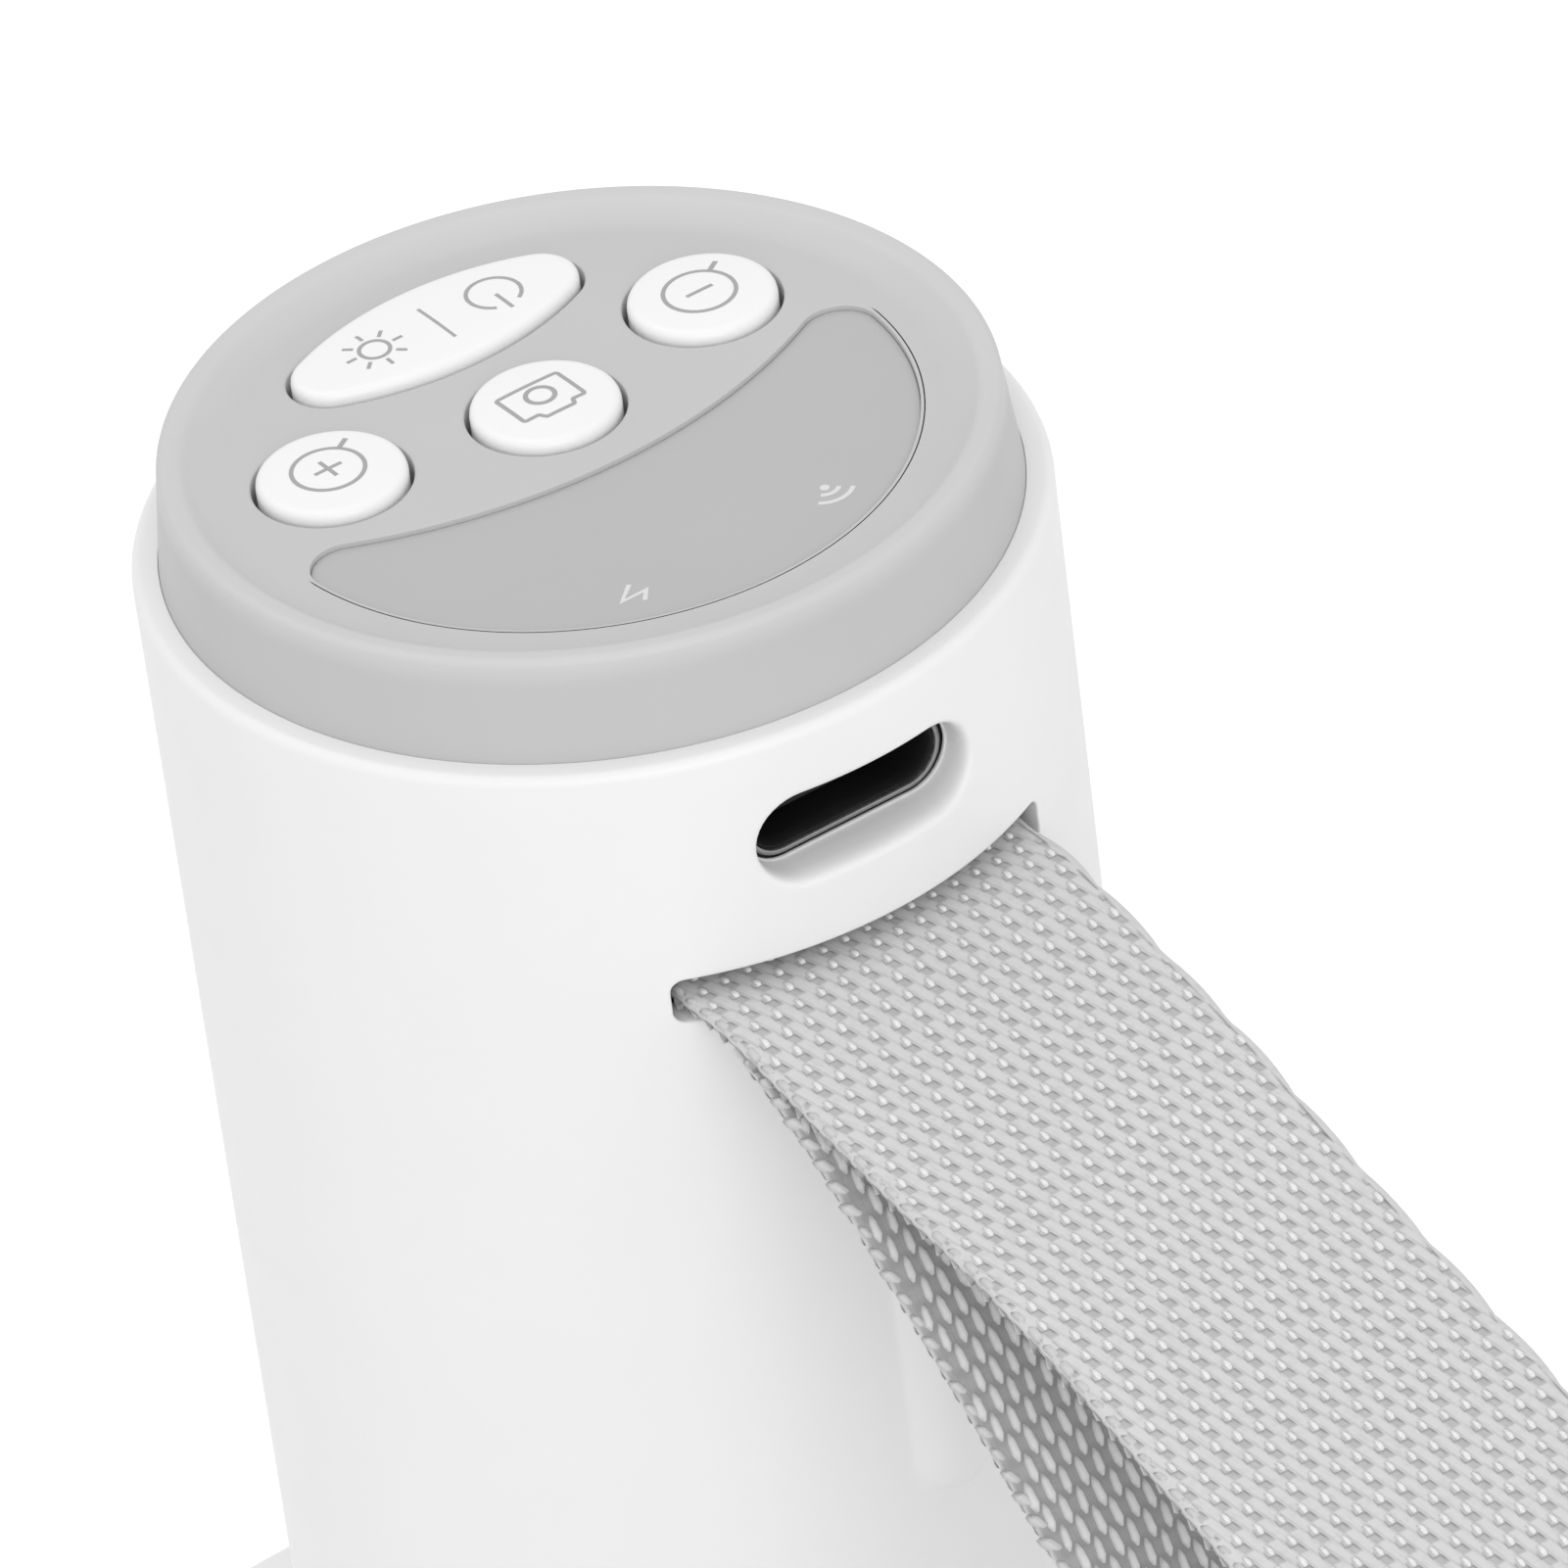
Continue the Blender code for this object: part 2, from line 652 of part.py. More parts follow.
def make_hood():
    bore = HOOD_RADIUS - HOOD_WALL
    flange_bottom = HOOD_TOP - HOOD_FLANGE_THICKNESS
    spigot_top = HOOD_TOP + HOOD_SPIGOT_HEIGHT
    spigot_bore = bore - HOOD_SPIGOT_WALL
    profile = [
        (bore, spigot_top),
        (bore, HOOD_TOP),
        (NOSE_TUBE_RADIUS, HOOD_TOP),
        (NOSE_TUBE_RADIUS, flange_bottom),
        (HOOD_RADIUS, flange_bottom),
        (HOOD_RADIUS, HOOD_BOTTOM),
        (bore, HOOD_BOTTOM),
        (bore, flange_bottom),
        (spigot_bore, HOOD_TOP),
        (spigot_bore, spigot_top),
    ]
    placed("clear_hood", turned("hood", profile), SCOPE_BODY, CLEAR)


def make_nose_ring():
    radius = BODY_RADIUS - NOSE_RING_OVERHANG
    shoulder = HOOD_TOP - HOOD_FLANGE_THICKNESS - FIT
    upstand_bore = NOSE_TUBE_RADIUS + FIT
    upstand_radius = upstand_bore + NOSE_RING_UPSTAND_WALL
    upstand_top = HOOD_TOP + NOSE_RING_UPSTAND_HEIGHT
    profile = [
        (upstand_radius, upstand_top),
        (upstand_radius, HOOD_TOP),
        (radius, HOOD_TOP),
        (radius, shoulder),
        (radius - NOSE_RING_LIP, shoulder - NOSE_RING_LIP),
        (HOOD_RADIUS + FIT, shoulder - NOSE_RING_LIP),
        (HOOD_RADIUS + FIT, shoulder),
        (upstand_bore, shoulder),
        (upstand_bore, upstand_top),
    ]
    placed("nose_ring", turned("nose_ring", profile), SCOPE_BODY, WHITE)


def make_nose_frame():
    ledge_bore = NOSE_TUBE_BORE - NOSE_LEDGE
    ledge_z = NOSE_BOTTOM + HOOD_SPIGOT_HEIGHT + LAMP_BOARD_THICKNESS + FIT
    web_bottom = NOSE_TOP - NOSE_WEB_THICKNESS
    flange_radius = SHELL_BORE - FIT
    guide_bore = BARREL_RADIUS + FIT
    guide_radius = guide_bore + GUIDE_WALL
    seat_radius = SENSOR_BOARD_RADIUS - FIT
    seat_top = NOSE_TOP + SENSOR_SEAT_HEIGHT
    profile = [
        (seat_radius, seat_top),
        (seat_radius, NOSE_TOP),
        (flange_radius, NOSE_TOP),
        (flange_radius, web_bottom),
        (NOSE_TUBE_RADIUS, web_bottom),
        (NOSE_TUBE_RADIUS, NOSE_BOTTOM),
        (NOSE_TUBE_BORE, NOSE_BOTTOM),
        (NOSE_TUBE_BORE, ledge_z),
        (ledge_bore, ledge_z),
        (ledge_bore, web_bottom),
        (guide_radius, web_bottom),
        (guide_radius, NOSE_TOP - GUIDE_LENGTH),
        (guide_bore, NOSE_TOP - GUIDE_LENGTH),
        (guide_bore, NOSE_TOP),
        (seat_radius - SENSOR_SEAT_WALL, NOSE_TOP),
        (seat_radius - SENSOR_SEAT_WALL, seat_top),
    ]
    frame = turned("nose_frame", profile)
    pilot_bottom = NOSE_TOP - NOSE_SCREW_BITE - FIT
    pilots = rods(
        "nose_pilots", SCREW_RADIUS + FIT, pilot_bottom, NOSE_TOP + OVERRUN,
        around(NOSE_SCREW_CIRCLE, NOSE_SCREW_COUNT, NOSE_SCREW_START),
    )
    half = FOCUS_PIN_RADIUS + FIT
    pin_z = BARREL_BOTTOM + FOCUS_PIN_HEIGHT
    reach = BARREL_TRAVEL + half
    slot = box(
        "pin_slot",
        (-half, BARREL_RADIUS, pin_z - reach),
        (half, NOSE_TUBE_RADIUS + OVERRUN, pin_z + reach),
    )
    combine(frame, pilots)
    combine(frame, slot)
    placed("nose_frame", frame, SCOPE_BODY, INNER_GREY)


def make_focus_ring():
    turn = 360 / RIB_COUNT
    rib = turn * RIB_WIDTH_SHARE
    outline = []
    for i in range(RIB_COUNT):
        start = turn * i
        outline += arc((0, 0), RING_RADIUS, start, start + turn - rib, 1)
        crest = start + turn - rib / 2
        outline += arc((0, 0), RING_RADIUS + RIB_HEIGHT, crest - rib / 4, crest + rib / 4, 1)
    bore = circle((0, 0), RING_BORE, ROUND)
    ring = flat_slab("ring_body", [outline, bore], RING_BOTTOM, RING_TOP)
    relief_radius = RING_BORE + NOSE_RING_UPSTAND_WALL + FIT
    relief_top = HOOD_TOP + NOSE_RING_UPSTAND_HEIGHT + FIT
    relief = rods(
        "ring_relief", relief_radius, RING_BOTTOM - OVERRUN, relief_top, [(0, 0)], ROUND
    )
    combine(ring, relief)
    placed("focus_ring", ring, RING_BODY, RING_GREY)


def lens_profile(bottom):
    """A lens with both faces bulging, turned from its axis out to its edge and back."""
    top = bottom + LENS_EDGE_THICKNESS
    radius = (LENS_RADIUS**2 + LENS_BULGE**2) / (2 * LENS_BULGE)
    half = math.degrees(math.asin(LENS_RADIUS / radius))
    upper = list(arc((0, top + LENS_BULGE - radius), radius, 90, 90 - half, EDGE_STEPS))
    lower = list(arc((0, bottom - LENS_BULGE + radius), radius, half - 90, -90, EDGE_STEPS))
    upper[0] = (0, top + LENS_BULGE)
    lower[-1] = (0, bottom - LENS_BULGE)
    return upper + lower


def make_barrel():
    top = BARREL_BOTTOM + BARREL_LENGTH
    stop_bottom = BARREL_BOTTOM + BARREL_STOP_HEIGHT
    stop_top = stop_bottom + BARREL_STOP_THICKNESS
    profile = [
        (BARREL_RADIUS, top),
        (BARREL_RADIUS, BARREL_BOTTOM),
        (BARREL_BORE, BARREL_BOTTOM),
        (BARREL_BORE, stop_bottom),
        (BARREL_STOP_BORE, stop_bottom),
        (BARREL_STOP_BORE, stop_top),
        (BARREL_BORE, stop_top),
        (BARREL_BORE, top),
    ]
    barrel = turned("barrel", profile, SMALL_ROUND)
    wall_middle = (BARREL_RADIUS + BARREL_BORE) / 2
    pin_height = BARREL_BOTTOM + FOCUS_PIN_HEIGHT
    pin = rod_along(
        "barrel_pin", "Y", FOCUS_PIN_RADIUS, wall_middle, NOSE_TUBE_RADIUS, [(0, pin_height)]
    )
    combine(barrel, pin, "UNION")
    placed("lens_barrel", barrel, BARREL_BODY, BARREL_METAL)

    front_bottom = stop_bottom - FIT - LENS_EDGE_THICKNESS
    front = turned("front_lens", lens_profile(front_bottom), SMALL_ROUND, closed=False)
    placed("front_lens", front, BARREL_BODY, GLASS)
    rear = turned("rear_lens", lens_profile(stop_top + FIT), SMALL_ROUND, closed=False)
    placed("rear_lens", rear, BARREL_BODY, GLASS)
    keeper_top = front_bottom - FIT
    keeper = hoop(
        "keeper", LENS_RADIUS, RETAINER_WIDTH, keeper_top - RETAINER_THICKNESS, keeper_top, SMALL_ROUND
    )
    placed("lens_retainer", keeper, BARREL_BODY, BLACK)


def make_lamp_ring():
    bottom = NOSE_BOTTOM + HOOD_SPIGOT_HEIGHT
    top = bottom + LAMP_BOARD_THICKNESS
    radius = NOSE_TUBE_BORE - FIT
    bore = BARREL_RADIUS + 2 * FIT
    board = hoop("lamp_board", radius, radius - bore, bottom, top, SMALL_ROUND)
    placed("lamp_board", board, SCOPE_BODY, BOARD)
    lamp_top = bottom - FIT
    lamp_bottom = lamp_top - LAMP_HEIGHT
    dome = [
        (0, lamp_top),
        (LAMP_RADIUS, lamp_top),
        *arc((0, lamp_bottom + LAMP_RADIUS), LAMP_RADIUS, 0, -90, EDGE_STEPS),
    ]
    dome[-1] = (0, lamp_bottom)
    lamp = settled(turned("lamp", dome, TINY_ROUND, closed=False))
    places = [Matrix.Translation((x, y, 0)) for x, y in around(LAMP_CIRCLE, LAMP_COUNT)]
    repeated("ring_lamp", lamp, places, SCOPE_BODY, DIFFUSER)


def pill_rib():
    """The upright rib below the strap, crowned across its width."""
    half = RIB_PILL_WIDTH / 2
    high = BODY_TOP - RIB_PILL_TOP_IN_BODY - half
    low = high - RIB_PILL_LENGTH + RIB_PILL_WIDTH
    bottom_end = arc((0, low), half, 180, 360, ARC_STEPS * 2)
    outline = [*bottom_end, *arc((0, high), half, 0, 180, ARC_STEPS * 2)]
    depth = RIB_PILL_PROUD + BODY_WALL / 2
    middle = depth / 2 - BODY_RADIUS - RIB_PILL_PROUD
    rib = slab("pill_rib", [outline], depth, Matrix.Translation((0, middle, 0)) @ UPRIGHT)
    bevel = rib.modifiers.new("crown", "BEVEL")
    bevel.width = RIB_PILL_PROUD
    bevel.segments = EDGE_STEPS
    return rib


def make_shell():
    ledge_bore = SHELL_BORE - SHELL_LEDGE_WIDTH
    mouth = CAP_BASE_RADIUS + SEAM
    edge = arc((BODY_RADIUS - BODY_EDGE, BODY_TOP - BODY_EDGE), BODY_EDGE, 90, 0, EDGE_STEPS)
    foot = arc((BODY_RADIUS - BODY_EDGE, SHELL_BOTTOM + BODY_EDGE), BODY_EDGE, 0, -90, EDGE_STEPS)
    profile = [
        *edge,
        *foot,
        (SHELL_BORE, SHELL_BOTTOM),
        (SHELL_BORE, SHELL_LEDGE_BOTTOM),
        (ledge_bore, SHELL_LEDGE_BOTTOM),
        (ledge_bore, SHELL_LEDGE_TOP),
        (SHELL_BORE, SHELL_LEDGE_TOP),
        (SHELL_BORE, CAP_SEAT),
        (mouth, CAP_SEAT),
        (mouth, BODY_TOP),
    ]
    shell = turned("shell", profile)
    reach = BODY_RADIUS - BODY_WALL
    middle = Matrix.Translation((0, -reach, PORT_Z))
    port = slab("port_cut", [pill(PORT_WIDTH, PORT_HEIGHT)], 2 * CAP_BASE_RADIUS / 3, middle @ UPRIGHT)
    slot_z = SLOT_TOP - SLOT_HEIGHT / 2
    slot = box(
        "slot_cut",
        (-SLOT_HALF_WIDTH, -BODY_RADIUS - OVERRUN, slot_z - SLOT_HEIGHT / 2),
        (SLOT_HALF_WIDTH, STRAP_PIN_Y, slot_z + SLOT_HEIGHT / 2),
        SLOT_CORNER,
    )
    holes = rods(
        "shell_holes", SCREW_RADIUS + FIT, SHELL_LEDGE_BOTTOM - OVERRUN / 2, SHELL_LEDGE_TOP + OVERRUN,
        around(NOSE_SCREW_CIRCLE, NOSE_SCREW_COUNT, NOSE_SCREW_START),
    )
    combine(shell, pill_rib(), "UNION")
    combine(shell, port)
    combine(shell, slot)
    combine(shell, holes)
    placed("body_shell", shell, SCOPE_BODY, WHITE)


def leaf_outline(grow=0):
    """The light key's leaf shape: two wide arcs whose meeting ends are rounded."""
    wide = LIGHT_KEY_ARC_RADIUS + grow
    drop = LIGHT_KEY_ARC_RADIUS - LIGHT_KEY_HALF_HEIGHT
    spread = LIGHT_KEY_ARC_RADIUS - LIGHT_KEY_HALF_LENGTH
    rounding = (LIGHT_KEY_ARC_RADIUS**2 - LIGHT_KEY_HALF_LENGTH**2 - drop**2) / (2 * spread)
    end = rounding + grow
    end_x = LIGHT_KEY_HALF_LENGTH - rounding
    lean = math.degrees(math.atan2(drop, end_x))
    points = []
    points += arc((0, -drop), wide, lean, 180 - lean, ARC_STEPS * 3)
    points += arc((-end_x, 0), end, 180 - lean, 180 + lean)
    points += arc((0, drop), wide, 180 + lean, 360 - lean, ARC_STEPS * 3)
    points += arc((end_x, 0), end, -lean, lean)
    return [(x, y + LIGHT_KEY_Y) for x, y in points]


def crescent_outline(grow=0):
    """The panel's outline: a wide dip above, the cap's own curve below, round tips between."""
    tip = PANEL_TIP_RADIUS
    tip_y = PANEL_TOP_Y - tip
    tip_x = math.sqrt((PANEL_RADIUS - tip) ** 2 - tip_y**2)
    dip = PANEL_DIP_Y - tip_y
    dip_radius = (tip_x**2 + dip**2 - tip**2) / (2 * (tip - dip))
    dip_centre = PANEL_DIP_Y + dip_radius
    lean = math.degrees(math.atan2(tip_y, tip_x))
    dip_lean = math.degrees(math.atan2(tip_x, dip_centre - tip_y))
    points = []
    points += arc((0, dip_centre), dip_radius - grow, dip_lean - 90, -dip_lean - 90, ARC_STEPS * 3)
    points += arc((-tip_x, tip_y), tip + grow, 90 - dip_lean, 180 - lean)
    points += arc((0, 0), PANEL_RADIUS + grow, 180 - lean, 360 + lean, ARC_STEPS * 5)
    points += arc((tip_x, tip_y), tip + grow, lean, 90 + dip_lean)
    return points


def make_cap():
    slope_foot = CAP_TOP_RADIUS - CAP_LIP_WIDTH - CAP_SLOPE_WIDTH
    round_r = CAP_LIP_ROUNDING
    skirt_bore = CAP_BASE_RADIUS - CAP_WALL
    profile = [
        (0, CAP_FACE),
        (slope_foot, CAP_FACE),
        *((slope_foot + a * CAP_SLOPE_WIDTH, CAP_FACE + b * CAP_RECESS) for a, b in CAP_SLOPE_SHARES),
        *arc((CAP_TOP_RADIUS - round_r, CAP_TOP - round_r), round_r, 90, 8, EDGE_STEPS + 1),
        (CAP_BASE_RADIUS, BODY_TOP),
        (CAP_BASE_RADIUS, CAP_BOTTOM),
        (skirt_bore, CAP_BOTTOM),
        (skirt_bore, CAP_UNDERSIDE),
        (0, CAP_UNDERSIDE),
    ]
    cap = turned("cap", profile, closed=False)
    boss_bottom = KEY_BOARD_TOP + FIT
    bosses = rods(
        "cap_bosses", CAP_BOSS_RADIUS, boss_bottom, CAP_UNDERSIDE + CAP_FACE_THICKNESS / 4,
        CAP_SCREW_PLACES,
    )
    pilots = rods(
        "cap_pilots", SCREW_RADIUS + FIT, boss_bottom - OVERRUN, boss_bottom + CAP_SCREW_BITE + FIT,
        CAP_SCREW_PLACES,
    )
    low, high = CAP_UNDERSIDE - OVERRUN, CAP_FACE + OVERRUN
    key_holes = rods(
        "round_key_holes", ROUND_KEY_RADIUS + SNUG, low, high, ROUND_KEYS.values(), SMALL_ROUND
    )
    leaf_hole = flat_slab("light_key_hole", [leaf_outline(SNUG)], low, high)
    recess_floor = CAP_FACE - PANEL_SUNK - PANEL_THICKNESS - FIT
    recess = flat_slab("panel_recess", [crescent_outline(PANEL_SEAM)], recess_floor, high)
    guides = rods(
        "guide_holes", LIGHT_GUIDE_RADIUS + FIT, low, recess_floor + OVERRUN,
        [(-LIGHT_GUIDE_X, LIGHT_GUIDE_Y), (LIGHT_GUIDE_X, LIGHT_GUIDE_Y)],
    )
    combine(cap, bosses, "UNION")
    combine(cap, pilots)
    combine(cap, key_holes)
    combine(cap, leaf_hole)
    combine(cap, recess)
    combine(cap, guides)
    placed("top_cap", cap, SCOPE_BODY, CAP_GREY)


def make_panel():
    top = CAP_FACE - PANEL_SUNK
    panel = flat_slab("indicator_panel", [crescent_outline()], top - PANEL_THICKNESS, top)
    placed("indicator_panel", panel, SCOPE_BODY, PANEL_GREY)
    guide_top = top - PANEL_THICKNESS - FIT
    collar_top = CAP_UNDERSIDE - FIT
    collar_bottom = collar_top - LIGHT_GUIDE_COLLAR_HEIGHT
    collar = LIGHT_GUIDE_RADIUS + LIGHT_GUIDE_COLLAR
    guide_bottom = KEY_BOARD_TOP + FIT + INDICATOR_HEIGHT + FIT
    profile = [
        (0, guide_top),
        (LIGHT_GUIDE_RADIUS, guide_top),
        (LIGHT_GUIDE_RADIUS, collar_top),
        (collar, collar_top),
        (collar, collar_bottom),
        (LIGHT_GUIDE_RADIUS, collar_bottom),
        (LIGHT_GUIDE_RADIUS, guide_bottom),
        (0, guide_bottom),
    ]
    guide = settled(turned("guide", profile, TINY_ROUND, closed=False))
    places = [Matrix.Translation((side * LIGHT_GUIDE_X, LIGHT_GUIDE_Y, 0)) for side in (-1, 1)]
    repeated("light_guide", guide, places, SCOPE_BODY, DIFFUSER)


def make_round_key(name, x, y):
    key_body = frame_empty(name + "_frame", 0)
    key_body.location = (x, y, KEY_TOP)
    flange = ROUND_KEY_RADIUS + KEY_FLANGE_OVERHANG
    flange_bottom = KEY_FLANGE_TOP - KEY_FLANGE_THICKNESS
    edge = arc((ROUND_KEY_RADIUS - KEY_EDGE, KEY_TOP - KEY_EDGE), KEY_EDGE, 90, 0, EDGE_STEPS)
    profile = [
        (0, KEY_TOP + KEY_CROWN),
        (ROUND_KEY_RADIUS / 2, KEY_TOP + KEY_CROWN * 3 / 4),
        *edge,
        (ROUND_KEY_RADIUS, KEY_FLANGE_TOP),
        (flange, KEY_FLANGE_TOP),
        (flange, flange_bottom),
        (KEY_PLUNGER_RADIUS, flange_bottom),
        (KEY_PLUNGER_RADIUS, KEY_PLUNGER_BOTTOM),
        (0, KEY_PLUNGER_BOTTOM),
    ]
    key = turned(name, profile, SMALL_ROUND, closed=False)
    key.location = (x, y, 0)
    placed(name, key, key_body, KEY_WHITE)


def make_light_key():
    key_body = frame_empty("light_key_frame", 0)
    key_body.location = (0, LIGHT_KEY_Y, KEY_TOP)
    flange_bottom = KEY_FLANGE_TOP - KEY_FLANGE_THICKNESS
    joint = KEY_FLANGE_THICKNESS / 2
    key = flat_slab("light_key", [leaf_outline()], KEY_FLANGE_TOP - joint, KEY_TOP)
    bevel = key.modifiers.new("edge", "BEVEL")
    bevel.width = KEY_EDGE
    bevel.segments = EDGE_STEPS
    flange = flat_slab(
        "light_key_flange", [leaf_outline(KEY_FLANGE_OVERHANG)], flange_bottom, KEY_FLANGE_TOP
    )
    plunger = rods(
        "light_key_plunger", KEY_PLUNGER_RADIUS, KEY_PLUNGER_BOTTOM, flange_bottom + joint,
        [(0, LIGHT_KEY_Y)],
    )
    combine(key, flange, "UNION")
    combine(key, plunger, "UNION")
    placed("light_key", key, key_body, KEY_WHITE)


def make_key_board():
    board = rods(
        "key_board", KEY_BOARD_RADIUS, KEY_BOARD_BOTTOM, KEY_BOARD_TOP, [(0, 0)], SMALL_ROUND
    )
    holes = rods(
        "board_holes", SCREW_RADIUS + FIT, KEY_BOARD_BOTTOM - OVERRUN, KEY_BOARD_TOP + OVERRUN,
        CAP_SCREW_PLACES,
    )
    placed("key_board", combine(board, holes), SCOPE_BODY, BOARD)

    base = KEY_BOARD_TOP + FIT
    half = SWITCH_SIDE / 2
    switch = box("switch", (-half, -half, base), (half, half, base + SWITCH_HEIGHT))
    button = rods(
        "switch_button", SWITCH_BUTTON_RADIUS, base + SWITCH_HEIGHT / 2, SWITCH_TOP, [(0, 0)]
    )
    data = settled(combine(switch, button, "UNION"))
    keys = [*ROUND_KEYS.values(), (0, LIGHT_KEY_Y)]
    places = [Matrix.Translation((x, y, 0)) for x, y in keys]
    repeated("key_switch", data, places, SCOPE_BODY, BLACK)

    half_long, half_wide = INDICATOR_LENGTH / 2, INDICATOR_WIDTH / 2
    chip = box(
        "indicator", (-half_long, -half_wide, base), (half_long, half_wide, base + INDICATOR_HEIGHT)
    )
    data = settled(chip)
    places = [Matrix.Translation((side * LIGHT_GUIDE_X, LIGHT_GUIDE_Y, 0)) for side in (-1, 1)]
    repeated("indicator_lamp", data, places, SCOPE_BODY, DIFFUSER)


def make_socket():
    inside = pill(SOCKET_WIDTH - 2 * SOCKET_WALL, SOCKET_HEIGHT - 2 * SOCKET_WALL)
    middle = SOCKET_FRONT_Y + SOCKET_DEPTH / 2
    place = Matrix.Translation((0, middle, PORT_Z)) @ UPRIGHT
    shell = slab("port_shell", [pill(SOCKET_WIDTH, SOCKET_HEIGHT), inside], SOCKET_DEPTH, place)
    placed("port_shell", shell, SCOPE_BODY, SHIELD)

    gap = 2 * (SOCKET_WALL + SEAM)
    back_y = SOCKET_FRONT_Y + SOCKET_DEPTH - SOCKET_BACK / 2
    core = slab(
        "port_core",
        [pill(SOCKET_WIDTH - gap, SOCKET_HEIGHT - gap)],
        SOCKET_BACK,
        Matrix.Translation((0, back_y, PORT_Z)) @ UPRIGHT,
    )
    tongue = box(
        "tongue",
        (-TONGUE_WIDTH / 2, SOCKET_FRONT_Y + TONGUE_SETBACK, PORT_Z - TONGUE_THICKNESS / 2),
        (TONGUE_WIDTH / 2, back_y, PORT_Z + TONGUE_THICKNESS / 2),
    )
    placed("port_core", combine(core, tongue, "UNION"), SCOPE_BODY, BLACK)


def make_chassis():
    ring_bore = CHASSIS_RADIUS - CHASSIS_RING_WIDTH
    ring = hoop("chassis", CHASSIS_RADIUS, CHASSIS_RING_WIDTH, CHASSIS_BOTTOM, CHASSIS_RING_TOP)
    holes = rods(
        "chassis_holes", SCREW_RADIUS + FIT, CHASSIS_BOTTOM - OVERRUN, CHASSIS_RING_TOP + OVERRUN,
        around(NOSE_SCREW_CIRCLE, NOSE_SCREW_COUNT, NOSE_SCREW_START),
    )
    combine(ring, holes)
    half = SPINE_THICKNESS / 2
    outer = CHASSIS_RADIUS - OVERRUN / 2
    legs_top = CHASSIS_RING_TOP + SPINE_FOOT_CLEARANCE
    spine = box(
        "spine",
        (-SPINE_HALF_WIDTH, -half, legs_top - SPINE_FOOT_CLEARANCE / 4),
        (SPINE_HALF_WIDTH, half, DECK_TOP - CHASSIS_PLATE / 2),
    )
    deck = rods("deck", CHASSIS_RADIUS, DECK_BOTTOM, DECK_TOP, [(0, 0)], ROUND)
    front = box(
        "deck_front",
        (-CHASSIS_RADIUS - OVERRUN, -CHASSIS_RADIUS - OVERRUN, DECK_BOTTOM - OVERRUN),
        (CHASSIS_RADIUS + OVERRUN, DECK_FRONT_Y, DECK_TOP + OVERRUN),
    )
    notch = box(
        "deck_notch",
        (-DECK_NOTCH_HALF_WIDTH, DECK_FRONT_Y - OVERRUN, DECK_BOTTOM - OVERRUN),
        (DECK_NOTCH_HALF_WIDTH, -half - STANDOFF_HEIGHT, DECK_TOP + OVERRUN),
    )
    combine(deck, front)
    combine(deck, notch)
    combine(ring, spine, "UNION")
    combine(ring, deck, "UNION")
    for side, label in ((-1, "left"), (1, "right")):
        inner = side * (ring_bore + OVERRUN / 4)
        leg = box(
            f"{label}_leg",
            (min(inner, side * outer), -SPINE_THICKNESS, CHASSIS_RING_TOP - CHASSIS_PLATE / 2),
            (max(inner, side * outer), SPINE_THICKNESS, legs_top + SPINE_THICKNESS),
        )
        combine(ring, leg, "UNION")
    standoffs = rod_along(
        "standoffs", "Y", STANDOFF_RADIUS, -half - STANDOFF_HEIGHT, 0, board_screw_places()
    )
    combine(ring, standoffs, "UNION")
    bore = STRAP_PIN_RADIUS + FIT / 2
    lug_reach = bore + STRAP_LUG_WALL
    for side, label in ((-1, "left"), (1, "right")):
        low_x = min(side * STRAP_LUG_X, side * (STRAP_LUG_X + STRAP_LUG_THICKNESS))
        lug = box(
            f"{label}_lug",
            (low_x, STRAP_PIN_Y - lug_reach, STRAP_TAB_Z - lug_reach),
            (low_x + STRAP_LUG_THICKNESS, DECK_FRONT_Y + OVERRUN, DECK_TOP - FIT),
        )
        combine(ring, lug, "UNION")
    lug_end = STRAP_LUG_X + STRAP_LUG_THICKNESS + OVERRUN
    combine(ring, rod_along("lug_bores", "X", bore, -lug_end, lug_end, [(STRAP_PIN_Y, STRAP_TAB_Z)]))
    pilots = rod_along(
        "board_pilots", "Y", SCREW_RADIUS + FIT, -half - STANDOFF_HEIGHT - OVERRUN, half + OVERRUN,
        board_screw_places(),
    )
    combine(ring, pilots)
    deck_holes = rods(
        "deck_holes", SCREW_RADIUS + FIT, DECK_BOTTOM - OVERRUN, DECK_TOP + OVERRUN, CAP_SCREW_PLACES
    )
    combine(ring, deck_holes)
    placed("chassis", ring, SCOPE_BODY, INNER_GREY)


def board_screw_places():
    """Where the main board's screws sit, as (x, z)."""
    low = MAIN_BOARD_BOTTOM + MAIN_BOARD_SCREW_INSET
    high = MAIN_BOARD_BOTTOM + MAIN_BOARD_HEIGHT - MAIN_BOARD_SCREW_INSET
    return [(-MAIN_BOARD_SCREW_X, low), (MAIN_BOARD_SCREW_X, high)]


BOARD_BACK_Y = -SPINE_THICKNESS / 2 - STANDOFF_HEIGHT - FIT
BOARD_FRONT_Y = BOARD_BACK_Y - BOARD_THICKNESS
BOARD_PARTS_Y = BOARD_FRONT_Y - FIT


